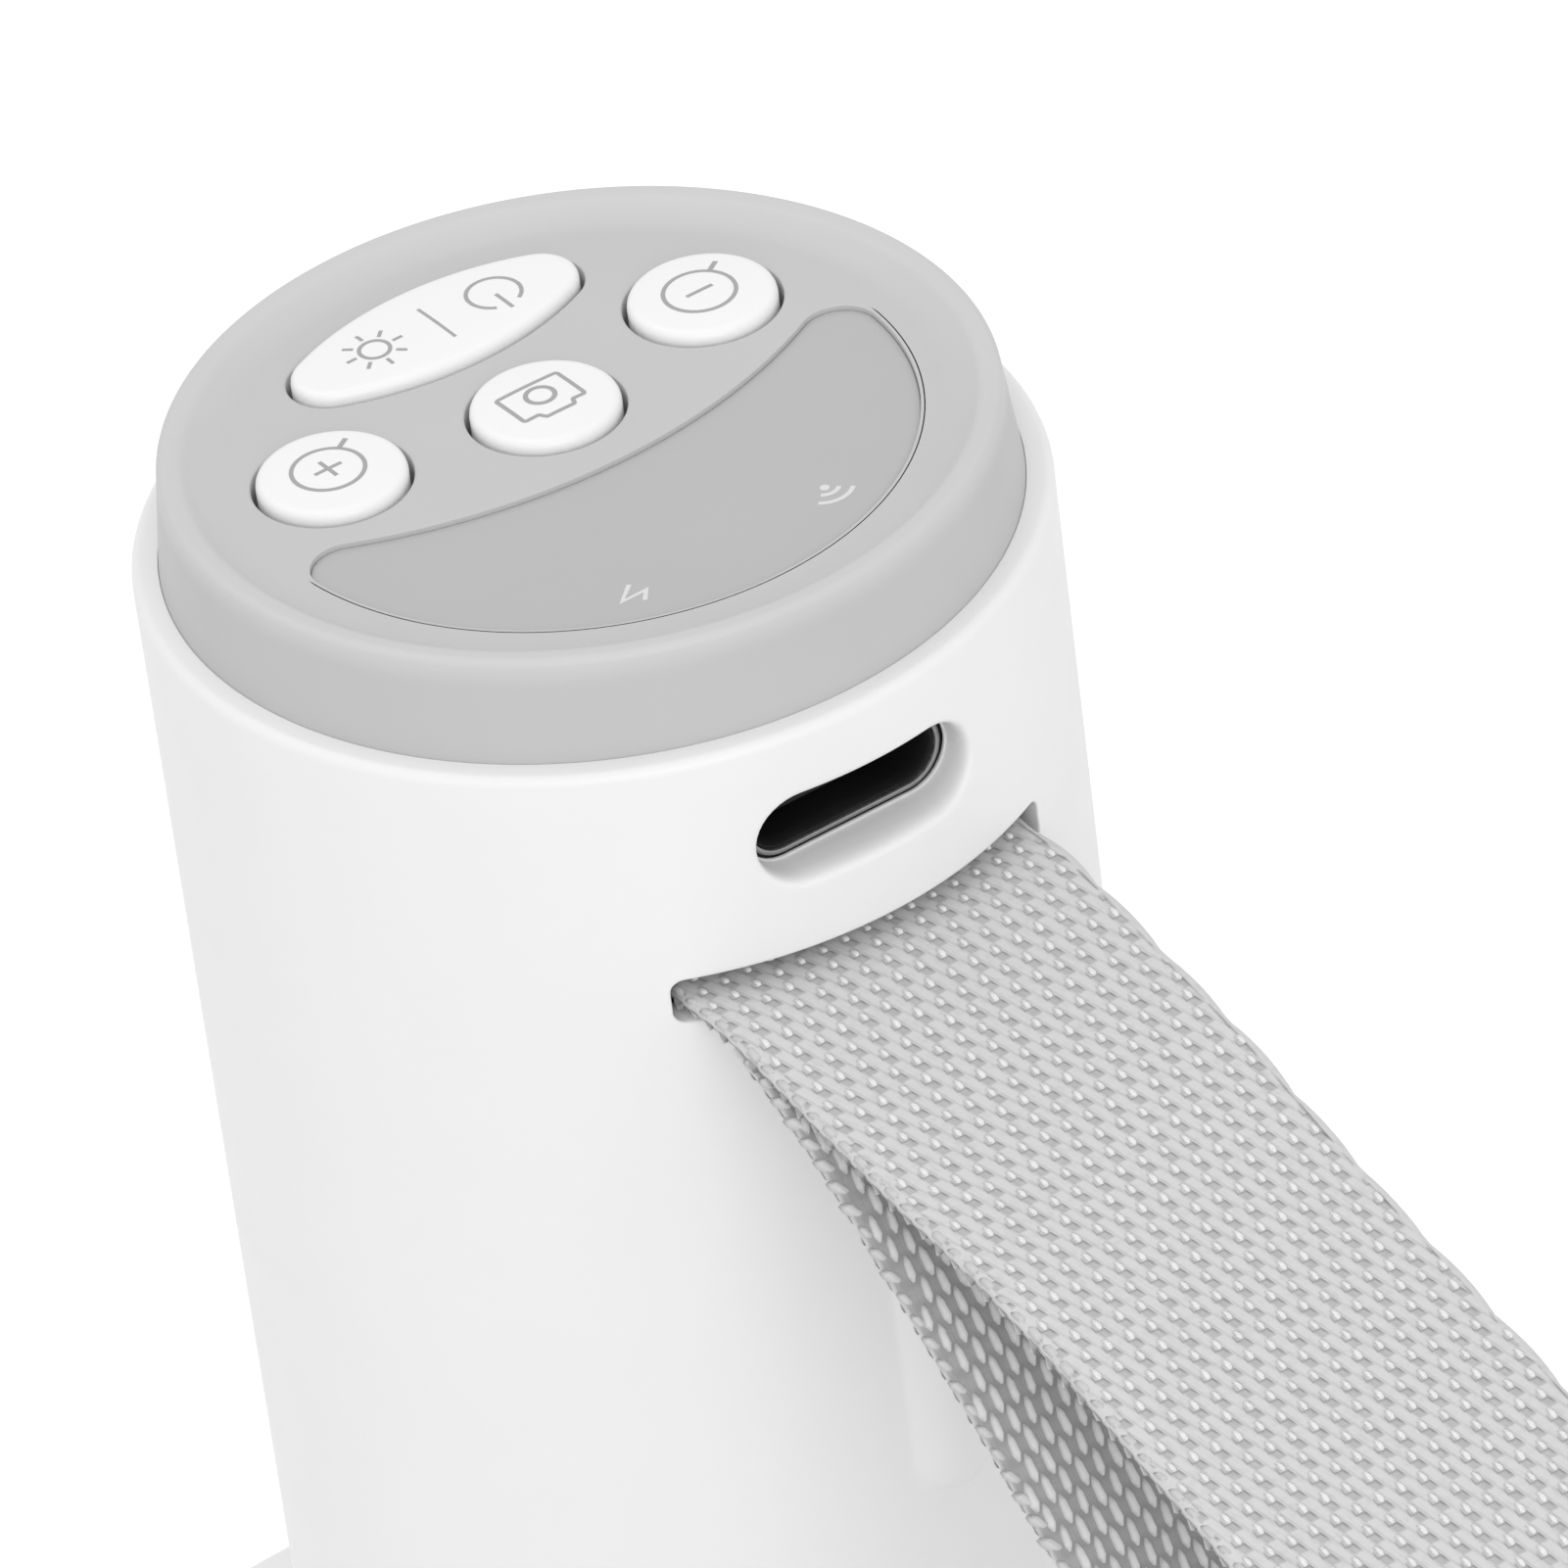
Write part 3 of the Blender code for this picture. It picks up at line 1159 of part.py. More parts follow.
def make_main_board():
    board = box(
        "main_board",
        (-MAIN_BOARD_HALF_WIDTH, BOARD_FRONT_Y, MAIN_BOARD_BOTTOM),
        (MAIN_BOARD_HALF_WIDTH, BOARD_BACK_Y, MAIN_BOARD_BOTTOM + MAIN_BOARD_HEIGHT),
    )
    holes = rod_along(
        "main_board_holes", "Y", SCREW_RADIUS + FIT, BOARD_FRONT_Y - OVERRUN, BOARD_BACK_Y + OVERRUN,
        board_screw_places(),
    )
    placed("main_board", combine(board, holes), SCOPE_BODY, BOARD)
    for name, width, length, thickness, height, finish in (
        ("image_processor", PROCESSOR_SIDE, PROCESSOR_SIDE, PROCESSOR_THICKNESS, PROCESSOR_HEIGHT, CHIP),
        ("radio_module", RADIO_WIDTH, RADIO_LENGTH, RADIO_THICKNESS, RADIO_HEIGHT, SHIELD),
    ):
        z = MAIN_BOARD_BOTTOM + height
        chip = box(
            name,
            (-width / 2, BOARD_PARTS_Y - thickness, z - length / 2),
            (width / 2, BOARD_PARTS_Y, z + length / 2),
        )
        placed(name, chip, SCOPE_BODY, finish)


def make_battery():
    back = SPINE_THICKNESS / 2 + FIT
    cell = box(
        "battery_cell",
        (-BATTERY_HALF_WIDTH, back, MAIN_BOARD_BOTTOM),
        (BATTERY_HALF_WIDTH, back + BATTERY_THICKNESS, MAIN_BOARD_BOTTOM + BATTERY_HEIGHT),
        BATTERY_EDGE,
    )
    placed("battery_cell", cell, SCOPE_BODY, FILM)


def make_ribbons():
    front = BOARD_PARTS_Y
    low = SENSOR_BOARD_TOP + FIT
    top = MAIN_BOARD_BOTTOM + RIBBON_RISE
    bend = [
        (-front, top),
        (-front, low),
        (-front + RIBBON_RUN, low),
        (-front + RIBBON_RUN, low + RIBBON_THICKNESS),
        (-front + RIBBON_THICKNESS, low + RIBBON_THICKNESS),
        (-front + RIBBON_THICKNESS, top),
    ]
    lower = slab("sensor_ribbon", [bend], 2 * RIBBON_HALF_WIDTH, EDGEWISE)
    placed("sensor_ribbon", lower, SCOPE_BODY, RIBBON)
    board_top = MAIN_BOARD_BOTTOM + MAIN_BOARD_HEIGHT
    upper = box(
        "key_ribbon",
        (-RIBBON_HALF_WIDTH, front - RIBBON_THICKNESS, board_top - KEY_RIBBON_OVERLAP),
        (RIBBON_HALF_WIDTH, front, KEY_BOARD_BOTTOM - FIT),
    )
    placed("key_ribbon", upper, SCOPE_BODY, RIBBON)


def make_sensor():
    board = rods(
        "sensor_board", SENSOR_BOARD_RADIUS, SENSOR_BOARD_BOTTOM, SENSOR_BOARD_TOP, [(0, 0)], SMALL_ROUND
    )
    placed("sensor_board", board, SCOPE_BODY, BOARD)
    half = SENSOR_SIDE / 2
    top = SENSOR_BOARD_BOTTOM - FIT
    chip = box("image_sensor", (-half, -half, top - SENSOR_THICKNESS), (half, half, top))
    placed("image_sensor", chip, SCOPE_BODY, CHIP)


def screw_mesh(length):
    """A screw standing on its tip: its head's underside is at zero and its shank hangs below."""
    socket_floor = SCREW_HEAD_HEIGHT - SCREW_SOCKET_DEPTH
    profile = [
        (0, socket_floor),
        (SCREW_SOCKET_RADIUS, socket_floor),
        (SCREW_SOCKET_RADIUS, SCREW_HEAD_HEIGHT),
        (SCREW_HEAD_RADIUS, SCREW_HEAD_HEIGHT),
        (SCREW_HEAD_RADIUS, 0),
        (SCREW_RADIUS, 0),
        (SCREW_RADIUS, -length),
        (0, -length),
    ]
    return settled(turned("screw", profile, TINY_ROUND, closed=False))


def make_screws():
    seat = CHASSIS_RING_TOP + FIT
    data = screw_mesh(seat - NOSE_TOP + NOSE_SCREW_BITE)
    spots = around(NOSE_SCREW_CIRCLE, NOSE_SCREW_COUNT, NOSE_SCREW_START)
    places = [Matrix.Translation((x, y, seat)) for x, y in spots]
    repeated("nose_screw", data, places, SCOPE_BODY, STEEL)

    seat = DECK_BOTTOM - FIT
    data = screw_mesh(KEY_BOARD_TOP + FIT - seat + CAP_SCREW_BITE)
    upward = Matrix.Rotation(math.pi, 4, "X")
    places = [Matrix.Translation((x, y, seat)) @ upward for x, y in CAP_SCREW_PLACES]
    repeated("cap_screw", data, places, SCOPE_BODY, STEEL)

    seat = BOARD_FRONT_Y - FIT
    data = screw_mesh(-seat)
    inward = Matrix.Rotation(math.pi / 2, 4, "X")
    places = [Matrix.Translation((x, seat, z)) @ inward for x, z in board_screw_places()]
    repeated("board_screw", data, places, SCOPE_BODY, STEEL)


def smooth_route(points, count):
    """Evenly spaced points on the smooth curve through a list of points."""
    fine = []
    for i in range(len(points) - 1):
        a = Vector(points[max(i - 1, 0)])
        b = Vector(points[i])
        c = Vector(points[i + 1])
        d = Vector(points[min(i + 2, len(points) - 1)])
        for step in range(ARC_STEPS * 2):
            t = step / (ARC_STEPS * 2)
            cubic = (3 * b - a - 3 * c + d) * t**3
            fine.append((2 * b + (c - a) * t + (2 * a - 5 * b + 4 * c - d) * t**2 + cubic) / 2)
    fine.append(Vector(points[-1]))
    runs = [0.0]
    for a, b in zip(fine, fine[1:]):
        runs.append(runs[-1] + (b - a).length)
    even, k = [], 0
    for i in range(count):
        target = runs[-1] * i / (count - 1)
        while k < len(runs) - 2 and runs[k + 1] < target:
            k += 1
        even.append(fine[k].lerp(fine[k + 1], (target - runs[k]) / (runs[k + 1] - runs[k])))
    return even


def offset_route(route, distance):
    """The route moved to its left by a distance, seen along its direction."""
    moved = []
    for i, point in enumerate(route):
        along = (route[min(i + 1, len(route) - 1)] - route[max(i - 1, 0)]).normalized()
        moved.append(point + Vector((-along.y, along.x)) * distance)
    return moved


def make_strap():
    rise = STRAP_TAB_Z - STRAP_ROOT_DROP - STRAP_FLOOR_Z
    root = BODY_RADIUS + STRAP_ROOT
    places = [(root + a * STRAP_REACH, STRAP_FLOOR_Z + b * rise) for a, b in STRAP_ROUTE_SHARES]
    route = smooth_route(places, STRAP_POINTS)
    half = STRAP_THICKNESS / 2
    outside = offset_route(route, half)
    inside = offset_route(route, -half)
    pin = (-STRAP_PIN_Y, STRAP_TAB_Z)
    eye = STRAP_PIN_RADIUS + FIT
    eye_outside = eye + STRAP_EYE_WALL
    tab = STRAP_TAB_THICKNESS / 2
    lean = math.degrees(math.asin(tab / eye_outside))
    tab_end = BODY_RADIUS + STRAP_TAB_RISE
    outline = [
        *arc(pin, eye_outside, 360 - lean, lean, ARC_STEPS * 4),
        (tab_end, STRAP_TAB_Z + tab),
        *outside,
        (tab_end, STRAP_TAB_Z - tab),
    ]
    outlines = [outline, circle(pin, eye, TINY_ROUND), inside]
    strap = slab("wrist_strap", outlines, 2 * STRAP_HALF_WIDTH, EDGEWISE)
    placed("wrist_strap", strap, SCOPE_BODY, WEBBING)

    pin_end = STRAP_LUG_X + STRAP_LUG_THICKNESS
    bar = rod_along(
        "strap_pin", "X", STRAP_PIN_RADIUS, -pin_end, pin_end, [(STRAP_PIN_Y, STRAP_TAB_Z)]
    )
    placed("strap_pin", bar, SCOPE_BODY, STEEL)


make_foot()
make_hood()
make_nose_ring()
make_nose_frame()
make_focus_ring()
make_barrel()
make_lamp_ring()
make_shell()
make_cap()
make_panel()
for key_name, (key_x, key_y) in ROUND_KEYS.items():
    make_round_key(key_name, key_x, key_y)
make_light_key()
make_key_board()
make_socket()
make_chassis()
make_main_board()
make_battery()
make_ribbons()
make_sensor()
make_screws()
make_strap()
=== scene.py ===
"""Finished look of a handheld digital microscope with a wrist strap, standing in its round foot.

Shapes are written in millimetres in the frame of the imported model: +Z is up, the microscope's
axis is +Z, and its port and strap look along -Y. Meshes are made in metres.
"""

import math

import bmesh
import bpy
import numpy as np
from mathutils import Matrix, Vector
from mathutils.geometry import delaunay_2d_cdt


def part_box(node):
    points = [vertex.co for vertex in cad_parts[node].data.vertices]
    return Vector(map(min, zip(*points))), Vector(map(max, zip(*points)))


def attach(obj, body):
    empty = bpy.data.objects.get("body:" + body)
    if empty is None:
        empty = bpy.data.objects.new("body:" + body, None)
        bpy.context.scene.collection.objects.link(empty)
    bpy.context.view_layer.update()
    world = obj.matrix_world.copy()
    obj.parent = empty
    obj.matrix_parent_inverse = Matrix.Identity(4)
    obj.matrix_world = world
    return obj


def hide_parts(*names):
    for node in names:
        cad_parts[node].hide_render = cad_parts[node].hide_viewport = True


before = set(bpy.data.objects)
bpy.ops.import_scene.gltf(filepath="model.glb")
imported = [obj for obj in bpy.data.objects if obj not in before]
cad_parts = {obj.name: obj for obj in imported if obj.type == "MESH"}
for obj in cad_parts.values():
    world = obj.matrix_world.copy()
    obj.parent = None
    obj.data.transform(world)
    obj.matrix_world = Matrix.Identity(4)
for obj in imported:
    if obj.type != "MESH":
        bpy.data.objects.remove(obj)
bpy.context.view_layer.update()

MM = 0.001

# Radii and heights of the turned pieces
BODY_R = 17.5
BODY_TOP = 76.4
BODY_BOTTOM = 25.2
BORE_R = 16.1
MOUTH_R = 16.46
FACE_Z = BODY_TOP + 3.47
CAP_TOP_Z = BODY_TOP + 4.27
KEY_Z = BODY_TOP + 3.87
PANEL_Z = BODY_TOP + 3.27
FLANGE_Z = BODY_TOP + 1.17
CAP_UNDER_Z = FACE_Z - 2.0

# Sides of the round pieces
ROUND_STEPS = 240
FINE_STEPS = 96
SMALL_STEPS = 32
SEAM_STEPS = 40

# Counts of what repeats
GRIP_RIBS = 40
RING_LAMPS = 8
CAP_SCREWS = 4

# Foot, focus ring, and the lens unit with its guide pin
FOOT_R = 37.0
RING_R = 17.7
PIN_Z = 20.0
LENS_R = 5.5
LENS_BULGE = 0.9
LENS_EDGE = 1.4

# Keys on the cap
ROUND_KEY_R = 2.9
KEY_CROWN = 0.12
KEY_GAP = 0.2
ROUND_KEYS = {
    "zoom_in_key": (-8.55, 4.1),
    "zoom_out_key": (8.55, 4.1),
    "shutter_key": (0.0, 2.3),
}
LEAF_Y = 9.7
LEAF_HALF_LENGTH = 6.35
LEAF_HALF_HEIGHT = 2.73
LEAF_ARC_R = 12.4

# Crescent panel
CRESCENT_R = 12.8
CRESCENT_TOP_Y = 0.4
CRESCENT_DIP_Y = -2.4
CRESCENT_TIP_R = 1.5

# Port, slot and rib on the body's wall
PORT_Z = BODY_TOP - 4.78
PORT_SIZE = (9.22, 3.44)
SOCKET_SIZE = (8.94, 3.26)
SOCKET_FRONT_Y = -15.46
SOCKET_BACK_Y = -8.1
SLOT_TOP = BODY_TOP - 9.68
SLOT_SIZE = (16.9, 1.9)
RIB_WIDTH = 3.7
RIB_ENDS = (BODY_TOP - 36.6, BODY_TOP - 17.5)

# Wrist strap
STRAP_WIDTH = 16.2
WEB_HALF = 0.36
COLUMN_PITCH = 1.01
BACK_COLUMN_PITCH = 0.765
PICK_PITCH = 0.955
ROW_SHIFT = -0.235
FACE_COLUMNS = 17
BACK_COLUMNS = 22
WEAVE_EDGE = 7.6
WEB_FLAT = (-7.7, 7.5)
WEB_RIGHT_EDGE = 7.93
EDGE_LOOPS_X = -7.8

# Camera: its place and axes in body radii from the middle of the body's top, before the turn
# about the microscope's axis that brings the port to the front
CAMERA_TURN = -30.5
CAMERA_PLACE = (0.0, -24.1992, 16.1846)
CAMERA_RIGHT = (0.99039975, -0.08827887, -0.10637281)
CAMERA_UP = (0.13776865, 0.5673547, 0.81186726)
CAMERA_AHEAD = (0.01131961, 0.81872797, -0.57407001)
CAMERA_LENS_MM = 310.6
CAMERA_SENSOR_MM = 36
CAMERA_RANGE = (0.05, 20)


def add_object(name, data):
    made = bpy.data.objects.new(name, data)
    bpy.context.collection.objects.link(made)
    return made


def set_camera():
    turn = Matrix.Rotation(math.radians(CAMERA_TURN), 3, "Z")
    axes = [turn @ Vector(axis) for axis in (CAMERA_RIGHT, CAMERA_UP, CAMERA_AHEAD)]
    place = turn @ Vector(CAMERA_PLACE) * BODY_R + Vector((0, 0, BODY_TOP))
    data = bpy.data.cameras.new("camera")
    data.lens = CAMERA_LENS_MM
    data.sensor_width = CAMERA_SENSOR_MM
    data.clip_start, data.clip_end = CAMERA_RANGE
    camera = add_object("camera", data)
    rotation = Matrix((axes[0], axes[1], -axes[2])).transposed()
    camera.matrix_world = Matrix.Translation(place * MM) @ rotation.to_4x4()
    bpy.context.scene.camera = camera


# Outlines and profiles


def arc(centre, radius, start, end, steps):
    """Points on an arc, from the start angle to the end angle in degrees."""
    points = []
    for i in range(steps + 1):
        angle = math.radians(start + (end - start) * i / steps)
        points.append((centre[0] + radius * math.cos(angle), centre[1] + radius * math.sin(angle)))
    return points


def rounded(corners, steps=6, closed=False):
    """A line through the corners (across, up, rounding), with each corner rounded."""
    points = []
    last = len(corners) - 1
    for i, (x, y, radius) in enumerate(corners):
        here = Vector((x, y))
        if not radius or (not closed and i in (0, last)):
            points.append((x, y))
            continue
        before = (Vector(corners[i - 1][:2]) - here).normalized()
        after = (Vector(corners[(i + 1) % (last + 1)][:2]) - here).normalized()
        half = before.angle(after) / 2
        centre = here + (before + after).normalized() * (radius / math.sin(half))
        reach = radius / math.tan(half)
        first = here + before * reach - centre
        final = here + after * reach - centre
        start = math.degrees(math.atan2(first.y, first.x))
        sweep = math.degrees(math.atan2(final.y, final.x)) - start
        sweep = (sweep + 180) % 360 - 180
        points += arc(centre, radius, start, start + sweep, steps)
    return points


def circle(centre, radius, steps=FINE_STEPS):
    return arc(centre, radius, 0, 360, steps)[:-1]


def pill(width, height, steps=20):
    """A pill lying along its longer side, with half-round ends."""
    radius = min(width, height) / 2
    reach = max(width, height) / 2 - radius
    points = arc((reach, 0), radius, -90, 90, steps) + arc((-reach, 0), radius, 90, 270, steps)
    return points if width >= height else [(-y, x) for x, y in points]


def stretched(points, longest, like=None):
    """The closed outline with its long straight runs split as those of the outline like are."""
    out = []
    like = like or points
    for i, (x, y) in enumerate(points):
        k = (i + 1) % len(points)
        next_x, next_y = points[k]
        count = max(1, math.ceil(math.dist(like[i], like[k]) / longest))
        for step in range(count):
            share = step / count
            out.append((x + (next_x - x) * share, y + (next_y - y) * share))
    return out


def leaf(grow):
    """The light key's outline: two wide arcs whose meeting ends are rounded."""
    drop = LEAF_ARC_R - LEAF_HALF_HEIGHT
    rest = LEAF_ARC_R - LEAF_HALF_LENGTH
    rounding = (LEAF_ARC_R**2 - LEAF_HALF_LENGTH**2 - drop**2) / (2 * rest)
    end_x = LEAF_HALF_LENGTH - rounding
    lean = math.degrees(math.atan2(drop, end_x))
    wide, end = LEAF_ARC_R + grow, rounding + grow
    points = arc((0, -drop), wide, lean, 180 - lean, 40)[:-1]
    points += arc((-end_x, 0), end, 180 - lean, 180 + lean, 20)[:-1]
    points += arc((0, drop), wide, 180 + lean, 360 - lean, 40)[:-1]
    points += arc((end_x, 0), end, -lean, lean, 20)[:-1]
    return [(x, y + LEAF_Y) for x, y in points]


def crescent(grow):
    """The panel's outline: a wide dip towards the keys, the cap's own curve, and round tips."""
    tip = CRESCENT_TIP_R
    tip_y = CRESCENT_TOP_Y - tip
    tip_x = math.sqrt((CRESCENT_R - tip) ** 2 - tip_y**2)
    dip = CRESCENT_DIP_Y - tip_y
    dip_r = (tip_x**2 + dip**2 - tip**2) / (2 * (tip - dip))
    centre_y = CRESCENT_DIP_Y + dip_r
    lean = math.degrees(math.atan2(tip_y, tip_x))
    dip_lean = math.degrees(math.atan2(tip_x, centre_y - tip_y))
    points = arc((0, centre_y), dip_r - grow, dip_lean - 90, -dip_lean - 90, 40)[:-1]
    points += arc((-tip_x, tip_y), tip + grow, 90 - dip_lean, 180 - lean, 16)[:-1]
    points += arc((0, 0), CRESCENT_R + grow, 180 - lean, 360 + lean, 80)[:-1]
    points += arc((tip_x, tip_y), tip + grow, lean, 90 + dip_lean, 16)[:-1]
    return points


# Shapes made of loops


class Shape:
    """Points and faces collected in millimetres, then made into one mesh."""

    def __init__(self):
        self.points = []
        self.faces = []

    def loop(self, points):
        start = len(self.points)
        self.points.extend(tuple(p) for p in points)
        return list(range(start, len(self.points)))

    def layer(self, outline, height, lift=0.0):
        """A loop along an outline, at a level or on a surface given by a function."""
        surface = height if callable(height) else lambda x, y: height
        return self.loop([(x, y, surface(x, y) + lift) for x, y in outline])

    def layers(self, outline, steps, height):
        """Joined loops of an outline that is given as a function of its growth. Every step has
        its growth and its lift over the height."""
        loops = [self.layer(outline(grow), height, lift) for grow, lift in steps]
        self.chain(loops)
        return loops

    def bridge(self, first, second, closed=True):
        count = len(first)
        for i in range(count if closed else count - 1):
            k = (i + 1) % count
            self.faces.append((first[i], first[k], second[k], second[i]))

    def chain(self, loops, closed=True):
        for first, second in zip(loops, loops[1:]):
            self.bridge(first, second, closed)

    def cone(self, loop, tip):
        for i in range(len(loop)):
            self.faces.append((loop[i], loop[(i + 1) % len(loop)], tip))

    def fan(self, loop, point):
        self.cone(loop, self.loop([point])[0])

    def fill(self, outer, holes, flat, place, spacing):
        """Fills the area inside outer and outside the holes, with added points at a spacing. flat
        gives a point's flattened place by its number, and place brings an added point back."""
        loops = [outer, *holes]
        indices = [i for loop in loops for i in loop]
        flats = [np.array([flat(i) for i in loop]) for loop in loops]
        coords = [Vector(p) for points in flats for p in points]
        edges, start = [], 0
        for loop in loops:
            edges += [(start + i, start + (i + 1) % len(loop)) for i in range(len(loop))]
            start += len(loop)
        if spacing:
            coords += grid_inside(flats, spacing)
        verts, _, faces, sources, _, _ = delaunay_2d_cdt(coords, edges, [], 0, 1e-7)
        made = []
        for vert, source in zip(verts, sources):
            known = [i for i in source if i < len(indices)]
            made.append(indices[known[0]] if known else self.loop([place(vert.x, vert.y)])[0])
        middles = [sum((verts[i] for i in face), Vector((0, 0))) / len(face) for face in faces]
        for face, kept in zip(faces, uncut(np.array(middles), flats)):
            corners = [made[i] for i in face]
            if kept and len(set(corners)) == len(corners):
                self.faces.append(tuple(corners))

    def cover(self, outer, holes=(), upright=False, height=None, spacing=0.0):
        """Fills a level loop, or an upright one that looks along Y. Added points can take their
        height from a function."""
        across, up, deep = (0, 2, 1) if upright else (0, 1, 2)
        depth = self.points[outer[0]][deep]

        def flat(i):
            return self.points[i][across], self.points[i][up]

        def place(a, b):
            return (a, depth, b) if upright else (a, b, height(a, b) if height else depth)

        self.fill(outer, holes, flat, place, spacing)

    def turn(self, profile, steps=ROUND_STEPS, centre=(0.0, 0.0)):
        """Turns a profile of (radius, height) about an upright axis."""
        rings = []
        for radius, z in profile:
            if radius < 1e-9:
                rings.append(self.loop([(centre[0], centre[1], z)]))
            else:
                ring = circle(centre, radius, steps)
                rings.append(self.loop([(x, y, z) for x, y in ring]))
        for first, second in zip(rings, rings[1:]):
            if len(first) == len(second):
                self.bridge(first, second)
            else:
                single, ring = (first, second) if len(first) == 1 else (second, first)
                self.cone(ring, single[0])
        return rings

    def tube(self, corners, rounding_steps, steps=ROUND_STEPS, centre=(0.0, 0.0)):
        """Turns a closed section, given by its corners, into a ring."""
        rings = self.turn(rounded(corners, rounding_steps, closed=True), steps, centre)
        self.bridge(rings[-1], rings[0])


def inside(points, outline):
    """Which of the points lie inside a closed outline."""
    result = np.zeros(len(points), dtype=bool)
    x, y = points[:, 0], points[:, 1]
    ends = np.roll(outline, -1, axis=0)
    for (x0, y0), (x1, y1) in zip(outline, ends):
        if y0 == y1:
            continue
        crosses = (y0 > y) != (y1 > y)
        result ^= crosses & (x < (x1 - x0) * (y - y0) / (y1 - y0) + x0)
    return result


def uncut(points, flats):
    """Which of the points lie inside the first outline and outside the others."""
    keep = inside(points, flats[0])
    for hole in flats[1:]:
        keep &= ~inside(points, hole)
    return keep


def grid_inside(flats, spacing):
    """Grid points between the outlines and clear of all of them."""
    low, high = flats[0].min(axis=0), flats[0].max(axis=0)
    across = np.arange(low[0] + spacing / 2, high[0], spacing)
    up = np.arange(low[1] + spacing / 2, high[1], spacing)
    grid = np.array([(x, y) for y in up for x in across])
    grid = grid[uncut(grid, flats)]
    border = np.concatenate(flats)
    clear = [np.hypot(*(border - p).T).min() > spacing * 0.45 for p in grid]
    return [Vector(p) for p, is_clear in zip(grid, clear) if is_clear]


def new_mesh(name, shape):
    mesh = bpy.data.meshes.new(name)
    mesh.from_pydata([[c * MM for c in p] for p in shape.points], [], shape.faces)
    return mesh


def face_outwards(mesh, weld=False, turned=False):
    """Turns the mesh's faces outwards, or inwards when turned, after welding it if asked to."""
    bm = bmesh.new()
    bm.from_mesh(mesh)
    if weld:
        bmesh.ops.remove_doubles(bm, verts=bm.verts, dist=2e-7)
        bmesh.ops.dissolve_degenerate(bm, edges=bm.edges, dist=1e-8)
    bmesh.ops.recalc_face_normals(bm, faces=bm.faces)
    if turned:
        bmesh.ops.reverse_faces(bm, faces=bm.faces)
    bm.to_mesh(mesh)
    bm.free()


def make_piece(name, shape, finish, body, stands_for=None, sharp=38.0):
    """Makes the shape's welded mesh and puts it on its body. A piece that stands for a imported
    node keeps its material slot, which has the finish's name."""
    mesh = new_mesh(name, shape)
    face_outwards(mesh, weld=True)
    place_piece(name, mesh, FINISHES[finish], body, stands_for, sharp)


def place_piece(name, mesh, finish, body, stands_for=None, sharp=38.0):
    mesh.shade_smooth()
    mesh.set_sharp_from_angle(angle=math.radians(sharp))
    mesh.materials.clear()
    mesh.materials.append(finish)
    piece = add_object(name, mesh)
    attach(piece, body)
    if stands_for:
        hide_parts(stands_for)
    return piece


# Node trees


class Signal:
    """An output in a node tree. Sums and products of signals are new maths nodes."""

    def __init__(self, tree, socket):
        self.tree = tree
        self.socket = socket

    def __add__(self, other):
        return maths("ADD", self, other)

    def __sub__(self, other):
        return maths("SUBTRACT", self, other)

    def __rsub__(self, other):
        return maths("SUBTRACT", other, self)

    def __mul__(self, other):
        return maths("MULTIPLY", self, other)

    def __truediv__(self, other):
        return maths("DIVIDE", self, other)

    def __abs__(self):
        return maths("ABSOLUTE", self)


def node(tree, kind, feeds=(), **settings):
    """A node with its settings, and its inputs fed by name or number from signals, sockets or
    plain values."""
    made = tree.nodes.new(kind)
    for key, value in settings.items():
        setattr(made, key, value)
    for key, value in dict(feeds).items():
        socket = made.inputs[key]
        value = value.socket if isinstance(value, Signal) else value
        if isinstance(value, bpy.types.NodeSocket):
            tree.links.new(value, socket)
        else:
            socket.default_value = value
    return made


def signal(tree, kind, output, feeds=(), **settings):
    return Signal(tree, node(tree, kind, feeds, **settings).outputs[output])


def maths(operation, *numbers):
    """A maths node's result from signals and plain numbers."""
    tree = next(number.tree for number in numbers if isinstance(number, Signal))
    return signal(tree, "ShaderNodeMath", 0, dict(enumerate(numbers)), operation=operation)


def scaled(tree, vector, amount):
    feeds = {0: vector, "Scale": amount}
    return node(tree, "ShaderNodeVectorMath", feeds, operation="SCALE").outputs[0]


def vectors(tree, operation, first, second):
    feeds = {0: first, 1: second}
    return node(tree, "ShaderNodeVectorMath", feeds, operation=operation).outputs[0]


def repeat(value, pitch, share):
    """The value's distance from the mark of its repeat, with that share of the pitch before it."""
    return (maths("FRACT", value / pitch + share) - share) * pitch


def rise(value, start, end):
    """A smooth step from 0 at start to 1 at end."""
    return signal(value.tree, "ShaderNodeMapRange", "Result", {
        "Value": value, "From Min": start, "From Max": end,
    }, interpolation_type="SMOOTHSTEP")


def fall(value, start, end):
    return 1.0 - rise(value, start, end)


def seen_directly(tree):
    """1 for rays that the camera sends out, straight, off a gloss or through glass, else 0."""
    path = node(tree, "ShaderNodeLightPath").outputs
    kinds = [Signal(tree, path[f"Is {kind} Ray"]) for kind in ("Camera", "Glossy", "Transmission")]
    return maths("MAXIMUM", kinds[0], maths("MAXIMUM", kinds[1], kinds[2]))


# Finishes

WHITE = (1.0, 1.0, 1.0, 1.0)
FINISHES = {}


def level(grey):
    """The linear value of a grey of 0 to 255 as it looks on a screen."""
    share = grey / 255
    return share / 12.92 if share <= 0.04045 else ((share + 0.055) / 1.055) ** 2.4


def tone(grey, warmth=0.0):
    value = level(grey)
    return (value * (1 + warmth), value, value * (1 - warmth), 1.0)


def darker(colour, share):
    return (*(c * share for c in colour[:3]), 1.0)


